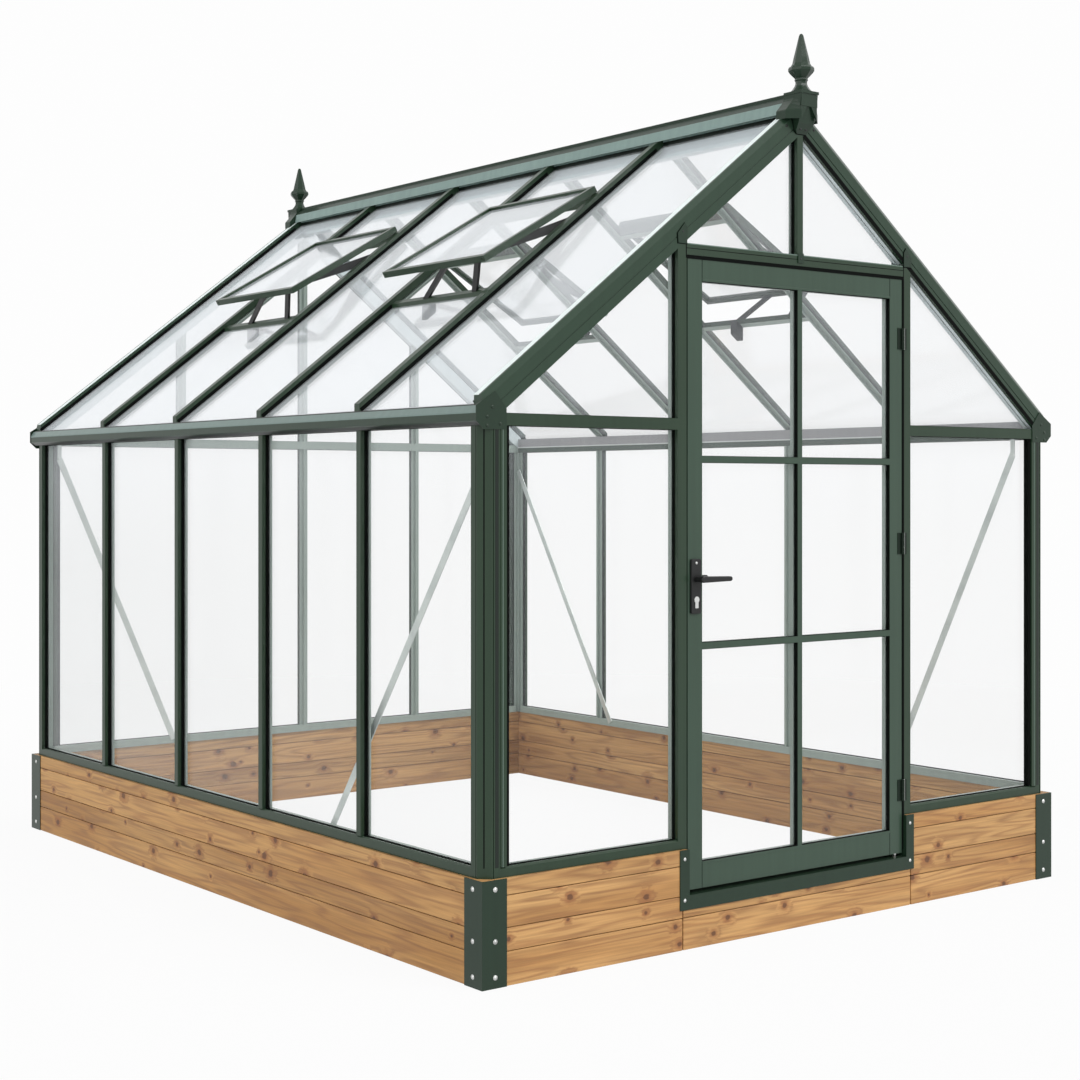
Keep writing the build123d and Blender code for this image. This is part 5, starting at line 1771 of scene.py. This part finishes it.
@dataclass
class GableFittings:
    """Finials, their blocks and skirts, hub plates, post tips and the foot of the mullion."""

    building: Building
    shop: Workshop
    sides: int = 8
    finial_inset: float = 0.042
    turning: tuple[Span, ...] = (
        (0.0, 0.034),
        (0.003, 0.035),
        (0.0055, 0.0325),
        (0.012, 0.027),
        (0.02, 0.0215),
        (0.0285, 0.0185),
        (0.036, 0.019),
        (0.0385, 0.0215),
        (0.0415, 0.0215),
        (0.045, 0.0205),
        (0.053, 0.0285),
        (0.062, 0.037),
        (0.069, 0.0418),
        (0.077, 0.0418),
        (0.0825, 0.039),
        (0.0855, 0.0335),
        (0.0935, 0.0285),
        (0.1125, 0.0245),
        (0.1365, 0.0185),
        (0.168, 0.011),
        (0.183, 0.0075),
        (0.188, 0.005),
        (0.19, 0.002),
    )
    cap_block: Triple = (0.04, -0.009, 0.0)
    neck_block: Triple = (0.0365, -0.05, -0.009)
    skirt: tuple[Span, ...] = (
        (0.0385, -0.009),
        (0.0385, -0.021),
        (0.043, -0.0295),
        (0.052, -0.0405),
        (0.063, -0.053),
        (0.0715, -0.062),
        (0.0735, -0.066),
    )
    skirt_body: Span = (-0.002, 0.04)
    skirt_front: Span = (-0.0355, -0.002)
    skirt_nose: float = 0.035
    skirt_drop: float = 0.001
    hub: tuple[Span, ...] = (
        (0.019, 2.5515),
        (0.029, 2.562),
        (0.033, 2.583),
        (0.0378, 2.597),
        (0.0378, 2.6765),
    )
    hub_depth: Span = (-0.003, 0.001)
    hub_lean: float = 0.69
    hub_shadow: Triple = (1.05, 0.9, 0.002)
    tip: tuple[Span, ...] = ((0.4925, 2.16), (0.528, 2.16), (0.53, 2.19), (0.503, 2.222), (0.4925, 2.207))
    tip_depth: Span = (-0.0035, 0.001)
    tip_middle: Span = (0.511, 2.185)
    tip_shadow: Span = (1.13, 1.07)
    foot: tuple[Span, ...] = ((-0.0125, 2.136), (0.0125, 2.136), (0.0125, 2.168), (-0.0125, 2.168))
    foot_depth: Span = (-0.0035, 0.0)
    shadow_depth: Span = (-0.0012, 0.001)
    hub_screws: tuple[Span, ...] = ((-0.012, 2.566), (0.012, 2.566))
    plate_screws: tuple[Span, ...] = ((0.509, 2.196), (-0.509, 2.196), (0.0, 2.15))
    rafter_screws: tuple[Span, ...] = ((-0.062, 2.572), (0.062, 2.572))
    screw_radius: float = 0.0036
    screw_dome: float = 0.4

    def mesh(
        self, name: str, points: list[Triple], faces: list[tuple[int, ...]], finish: Finish
    ) -> bpy.types.Object:
        """Makes a closed object from points and faces that point outwards.

        Args:
            name: Name of the piece.
            points: Its corners.
            faces: Its faces.
            finish: Its finish.

        Returns:
            The object.
        """
        data = bpy.data.meshes.new(name)
        data.from_pydata(points, [], faces)
        data.validate()
        data.materials.append(finish.material())
        piece = bpy.data.objects.new(name, data)
        bpy.context.scene.collection.objects.link(piece)
        return piece

    def plates(self, name: str, plates: Sequence[Plate], finish: Finish) -> bpy.types.Object:
        """Makes one piece from flat plates.

        Args:
            name: Name of the piece.
            plates: The plates.
            finish: Its finish.

        Returns:
            The piece.
        """
        points: list[Triple] = []
        faces: list[tuple[int, ...]] = []
        for plate in plates:
            outline = list(plate.outline)
            nexts = outline[1:] + outline[:1]
            turns = sum(x * next_z - next_x * z for (x, z), (next_x, next_z) in zip(outline, nexts))
            if turns < 0:
                outline.reverse()
            count = len(outline)
            first = len(points)
            for y in plate.y:
                points += [plate.corner(x, y, z) for x, z in outline]
            faces.append(tuple(first + number for number in range(count)))
            faces.append(tuple(first + count + number for number in reversed(range(count))))
            for number in range(count):
                start = first + number
                after = first + (number + 1) % count
                faces.append((after, start, start + count, after + count))
        return self.mesh(name, points, faces, finish)

    def turned(
        self, points: list[Triple], faces: list[tuple[int, ...]], middle: Span, foot: float
    ) -> None:
        """Adds one turned finial to lists of points and faces.

        Args:
            points: The piece's points so far.
            faces: The piece's faces so far.
            middle: X and Y of its axis.
            foot: Height of its foot.
        """
        first = len(points)
        angles = [math.tau * number / self.sides for number in range(self.sides)]
        for height, radius in self.turning:
            for angle in angles:
                x, y = radius * math.cos(angle), radius * math.sin(angle)
                points.append((middle[0] + x, middle[1] + y, foot + height))
        last = first + (len(self.turning) - 1) * self.sides
        for ring in range(first, last, self.sides):
            above = ring + self.sides
            for number in range(self.sides):
                after = (number + 1) % self.sides
                faces.append((ring + number, ring + after, above + after, above + number))
        faces.append(tuple(first + number for number in reversed(range(self.sides))))
        faces.append(tuple(last + number for number in range(self.sides)))

    def squared(
        self, points: list[Triple], faces: list[tuple[int, ...]], middle: Span, top: float, block: Triple
    ) -> None:
        """Adds one square block to lists of points and faces.

        Args:
            points: The piece's points so far.
            faces: The piece's faces so far.
            middle: X and Y of its axis.
            top: Height that its ends are measured from.
            block: Half its width, then its foot and head from the top.
        """
        start = len(points)
        half, foot, head = block
        for z in (foot, head):
            for x, y in CORNERS:
                points.append((middle[0] + x * half, middle[1] + y * half, top + z))
        box = ((3, 2, 1, 0), (4, 5, 6, 7), (0, 1, 5, 4), (1, 2, 6, 5), (2, 3, 7, 6), (3, 0, 4, 7))
        faces += [tuple(start + corner for corner in face) for face in box]

    def finials(self) -> None:
        """Eight-sided turned finials on square blocks, in place of the plain ones, with their skirts."""
        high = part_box("ridge_finials")[1]
        top = high.z - self.turning[-1][0]
        middle = high.y - self.finial_inset
        points: list[Triple] = []
        faces: list[tuple[int, ...]] = []
        for gable in (-1, 1):
            axis = (0.0, gable * middle)
            self.turned(points, faces, axis, top)
            for block in (self.cap_block, self.neck_block):
                self.squared(points, faces, axis, top, block)
        piece = self.mesh("turned_finials", points, faces, DEEP_GREEN)
        settle(piece, Body.GREENHOUSE, Slot.FRAME, "ridge_finials")
        right = [(x, top + z) for x, z in self.skirt]
        edge = right[-1][0]
        right.append((edge, self.building.roof(edge, self.skirt_drop)))
        left = [(-x, z) for x, z in reversed(right)]
        outline = tuple(right + [(0.0, self.building.roof(0.0, self.skirt_drop))] + left)
        body = Plate(outline, band(-middle, self.skirt_body))
        front = Plate(outline, band(-middle, self.skirt_front), nose=self.skirt_nose)
        skirts = [body, front, body.moved_back(), front.moved_back()]
        piece = self.plates("finial_skirts", skirts, DEEP_GREEN)
        settle(piece, Body.GREENHOUSE, Slot.FRAME)

    def face_plates(self) -> None:
        """Hub plates, post tips and the mullion's foot on the gable faces, with black plates behind them as
        painted shadows round their edges.
        """
        face = -self.building.half_length
        base = self.hub[0][1]
        outline = self.hub + tuple((-x, z) for x, z in reversed(self.hub))
        hub = Plate(outline, band(face, self.hub_depth), self.hub_lean)
        tip = Plate(self.tip, band(face, self.tip_depth))
        foot = Plate(self.foot, band(face, self.foot_depth))
        plates = [hub, tip, tip.mirrored(), foot, hub.moved_back()]
        piece = self.plates("gable_plates", plates, DEEP_GREEN)
        settle(piece, Body.GREENHOUSE, Slot.FRAME)
        behind = band(face, self.shadow_depth)
        rim = hub.shadow(behind, (0.0, base), *self.hub_shadow)
        shade = tip.shadow(behind, self.tip_middle, *self.tip_shadow)
        shadows = [rim, rim.moved_back(), shade, shade.mirrored()]
        piece = self.plates("gable_plate_shadows", shadows, RUBBER)
        settle(piece, Body.GREENHOUSE, Slot.BLACK)

    def screws(self) -> None:
        """Screws of the plates, which sit on the leaning face of the hub, and of the rafters."""
        face = -self.building.half_length
        base = self.hub[0][1]
        proud = self.hub_depth[0]
        seats = [(x, face + proud - self.hub_lean * (z - base), z) for x, z in self.hub_screws]
        seats += [(x, face + proud, z) for x, z in self.plate_screws]
        seats += [(x, face, z) for x, z in self.rafter_screws]
        heads = [Head(seat, (0, -1, 0), self.screw_radius) for seat in seats]
        piece = self.shop.heads.make("gable_plate_screws", heads, HARDWARE, self.screw_dome)
        settle(piece, Body.GREENHOUSE, Slot.BLACK)

    def build(self) -> None:
        """Finials first, then the plates on the gable faces and their screws."""
        self.finials()
        self.face_plates()
        self.screws()


@dataclass
class DoorLeaf:
    """Seams, rubber and beads of the door leaf, with the screws of its handle plates."""

    building: Building
    shop: Workshop
    seam: float = 0.002
    seam_depth: Span = (-0.0003, 0.002)
    seam_edge: float = 0.0001
    gasket: float = 0.0012
    gasket_sunk: float = 0.001
    gasket_edge: float = 0.0003
    half_groove: float = 0.0023
    bead: float = 0.0075
    bead_depth: Span = (-0.0012, 0.003)
    bead_edge: float = 0.0011
    screw_heights: Span = (1.181, 1.046)
    screw_radius: float = 0.0034
    screw_dome: float = 0.4

    def build(self) -> None:
        """Everything that rides on the leaf."""
        stiles_low, stiles_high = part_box("door_stiles")
        rails_low, rails_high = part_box("door_rails")
        upright_low, upright_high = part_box("door_upright_bar")
        crosses_low, crosses_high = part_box("door_cross_bars")
        front = stiles_low.y
        left, right = rails_low.x, rails_high.x
        foot, head = upright_low.z, upright_high.z
        bar = upright_high.x - upright_low.x
        seams = [
            between(band(x, (-self.seam / 2, self.seam / 2)), band(front, self.seam_depth), z)
            for x in (left, right)
            for z in ((rails_low.z, foot), (head, rails_high.z))
        ]
        piece = self.shop.blocks.make("leaf_seams", seams, RUBBER, self.seam_edge)
        settle(piece, Body.DOOR, Slot.BLACK)
        groove = (front + stiles_high.y) / 2 - self.half_groove
        depth = (front + self.gasket_sunk, groove)
        thick = self.gasket
        strips = []
        for start, end in ((left, upright_low.x), (upright_high.x, right)):
            for low, high in (
                (foot, crosses_low.z),
                (crosses_low.z + bar, crosses_high.z - bar),
                (crosses_high.z, head),
            ):
                strips.append(between((start, start + thick), depth, (low, high)))
                strips.append(between((end - thick, end), depth, (low, high)))
                strips.append(between((start, end), depth, (low, low + thick)))
                strips.append(between((start, end), depth, (high - thick, high)))
        piece = self.shop.blocks.make("leaf_gaskets", strips, RUBBER, self.gasket_edge)
        settle(piece, Body.DOOR, Slot.BLACK)
        y = band(front, self.bead_depth)
        beads = [between((left, right), y, z) for z in ((foot - self.bead, foot), (head, head + self.bead))]
        piece = self.shop.blocks.make("leaf_beads", beads, LEAF_GREEN, self.bead_edge)
        settle(piece, Body.DOOR, Slot.FRAME)
        self.screws()

    def screws(self) -> None:
        """Screws of the handle plates, on both sides of the leaf."""
        low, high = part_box("handle_plates")
        x = (low.x + high.x) / 2
        heads = [
            Head((x, y, height), (0, facing, 0), self.screw_radius)
            for height in self.screw_heights
            for y, facing in ((low.y, -1), (high.y, 1))
        ]
        piece = self.shop.heads.make("leaf_screws", heads, STEEL, self.screw_dome)
        settle(piece, Body.DOOR, Slot.HINGE)


@dataclass(frozen=True)
class Lamp:
    """A sun lamp: its strength, how wide its disc is in degrees, and the way to it."""

    name: str
    strength: float
    spread: float
    toward: Triple


@dataclass
class Studio:
    """Pale floor, soft light and the camera."""

    focal: float = 62.2293
    sensor: float = 36.0
    eye: Triple = (-4.33283, -5.85101, 1.40757)
    heading: float = -37.54
    shift: float = -0.0470
    far_clip: float = 100.0
    world: float = 0.6
    lamps: tuple[Lamp, ...] = (
        Lamp("key", 1.75, 35.0, (0.45, -0.8, 0.75)),
        Lamp("fill", 1.0, 60.0, (-0.9, -0.12, 0.42)),
    )
    floor_reach: float = 40.0
    floor_grey: float = 0.82
    floor_white: float = 0.985
    near_share: float = 0.955
    near: float = 2.6
    far: float = 7.0
    clear_bounces: int = 24

    def camera(self) -> None:
        """Camera at the photograph's place, level, with its frame shifted down."""
        data = bpy.data.cameras.new("camera")
        data.lens = self.focal
        data.sensor_width = self.sensor
        data.sensor_fit = "HORIZONTAL"
        data.shift_y = self.shift
        data.clip_end = self.far_clip
        camera = bpy.data.objects.new("camera", data)
        camera.location = self.eye
        camera.rotation_euler = Euler((math.radians(90), 0.0, math.radians(self.heading)))
        bpy.context.scene.collection.objects.link(camera)
        bpy.context.scene.camera = camera

    def floor(self) -> None:
        """A wide pale floor that looks white and still takes the object's shadow."""
        mesh = bpy.data.meshes.new("studio_floor")
        corners = [(x * self.floor_reach, y * self.floor_reach, 0.0) for x, y in CORNERS]
        mesh.from_pydata(corners, [], [(0, 1, 2, 3)])
        floor = bpy.data.objects.new("studio_floor", mesh)
        bpy.context.scene.collection.objects.link(floor)
        material = bpy.data.materials.new("studio_floor")
        material.use_nodes = True
        material.node_tree.nodes.clear()
        wiring = Wiring(material.node_tree)
        grey = (self.floor_grey, self.floor_grey, self.floor_grey, 1.0)
        white = (self.floor_white, self.floor_white, self.floor_white, 1.0)
        matt = wiring.add("ShaderNodeBsdfDiffuse", None, {"Color": grey})
        bright = wiring.add("ShaderNodeEmission", None, {"Color": white, "Strength": 1.0})
        path = wiring.add("ShaderNodeLightPath")
        seen = Signal(wiring, path.outputs["Is Camera Ray"])
        mirrored = Signal(wiring, path.outputs["Is Glossy Ray"])
        reach = wiring.vector("LENGTH", wiring.add("ShaderNodeTexCoord").outputs["Object"])
        away = Signal(wiring, reach).faded(self.near, self.far)
        share = seen.maths("MAXIMUM", mirrored) * (self.near_share + away * (1.0 - self.near_share))
        inputs = {0: share, 1: matt.outputs[0], 2: bright.outputs[0]}
        surface = wiring.add("ShaderNodeMixShader", None, inputs)
        wiring.add("ShaderNodeOutputMaterial", None, {"Surface": surface.outputs[0]})
        mesh.materials.append(material)

    def light(self) -> None:
        """An even pale sky, a soft key light from the front right and a softer fill from the left."""
        world = bpy.data.worlds.new("studio")
        world.use_nodes = True
        world.node_tree.nodes.clear()
        wiring = Wiring(world.node_tree)
        path = wiring.add("ShaderNodeLightPath")
        seen = Signal(wiring, path.outputs["Is Camera Ray"])
        mirrored = Signal(wiring, path.outputs["Is Glossy Ray"])
        through = Signal(wiring, path.outputs["Is Transmission Ray"])
        share = seen.maths("MAXIMUM", mirrored).maths("MAXIMUM", through)
        strength = self.world + share * (self.floor_white - self.world)
        inputs = {"Color": (1.0, 1.0, 1.0, 1.0), "Strength": strength}
        sky = wiring.add("ShaderNodeBackground", None, inputs)
        wiring.add("ShaderNodeOutputWorld", None, {"Surface": sky.outputs[0]})
        bpy.context.scene.world = world
        for lamp in self.lamps:
            sun = bpy.data.lights.new(lamp.name, "SUN")
            sun.energy = lamp.strength
            sun.angle = math.radians(lamp.spread)
            light = bpy.data.objects.new(lamp.name, sun)
            light.rotation_euler = Vector(lamp.toward).to_track_quat("Z", "Y").to_euler()
            bpy.context.scene.collection.objects.link(light)

    def build(self) -> None:
        """The stage, with plain colour handling."""
        scene = bpy.context.scene
        scene.view_settings.view_transform = "Standard"
        scene.cycles.transparent_max_bounces = self.clear_bounces
        self.camera()
        self.floor()
        self.light()
        LOG.info("studio ready")


def coat_frame(nodes: Mapping[str, bpy.types.Object]) -> None:
    """Gives every carried-over CAD node its finish.

    Args:
        nodes: The frame's nodes by name.
    """
    for finish, names in NODE_FINISHES.items():
        for name in names.split():
            node = nodes[name]
            if not node.material_slots:
                node.data.materials.append(finish.material())
            for slot in node.material_slots:
                slot.material = finish.material()
    LOG.info("%d nodes coated", sum(len(names.split()) for names in NODE_FINISHES.values()))


def main() -> None:
    """Loads the frame, then builds the studio and every sub-assembly in order."""
    logging.basicConfig(level=logging.INFO, format="%(name)s: %(message)s")
    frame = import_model()
    Studio().build()
    coat_frame(frame["nodes"])
    building = Building.measured()
    shop = Workshop(BlockTree(), HeadTree())
    for assembly in (
        Plinth(building, shop),
        Gaskets(building, shop),
        Trims(building, shop),
        GableFittings(building, shop),
        DoorLeaf(building, shop),
    ):
        assembly.build()
        LOG.info("%s built", type(assembly).__name__)


if __name__ == "__main__":
    main()
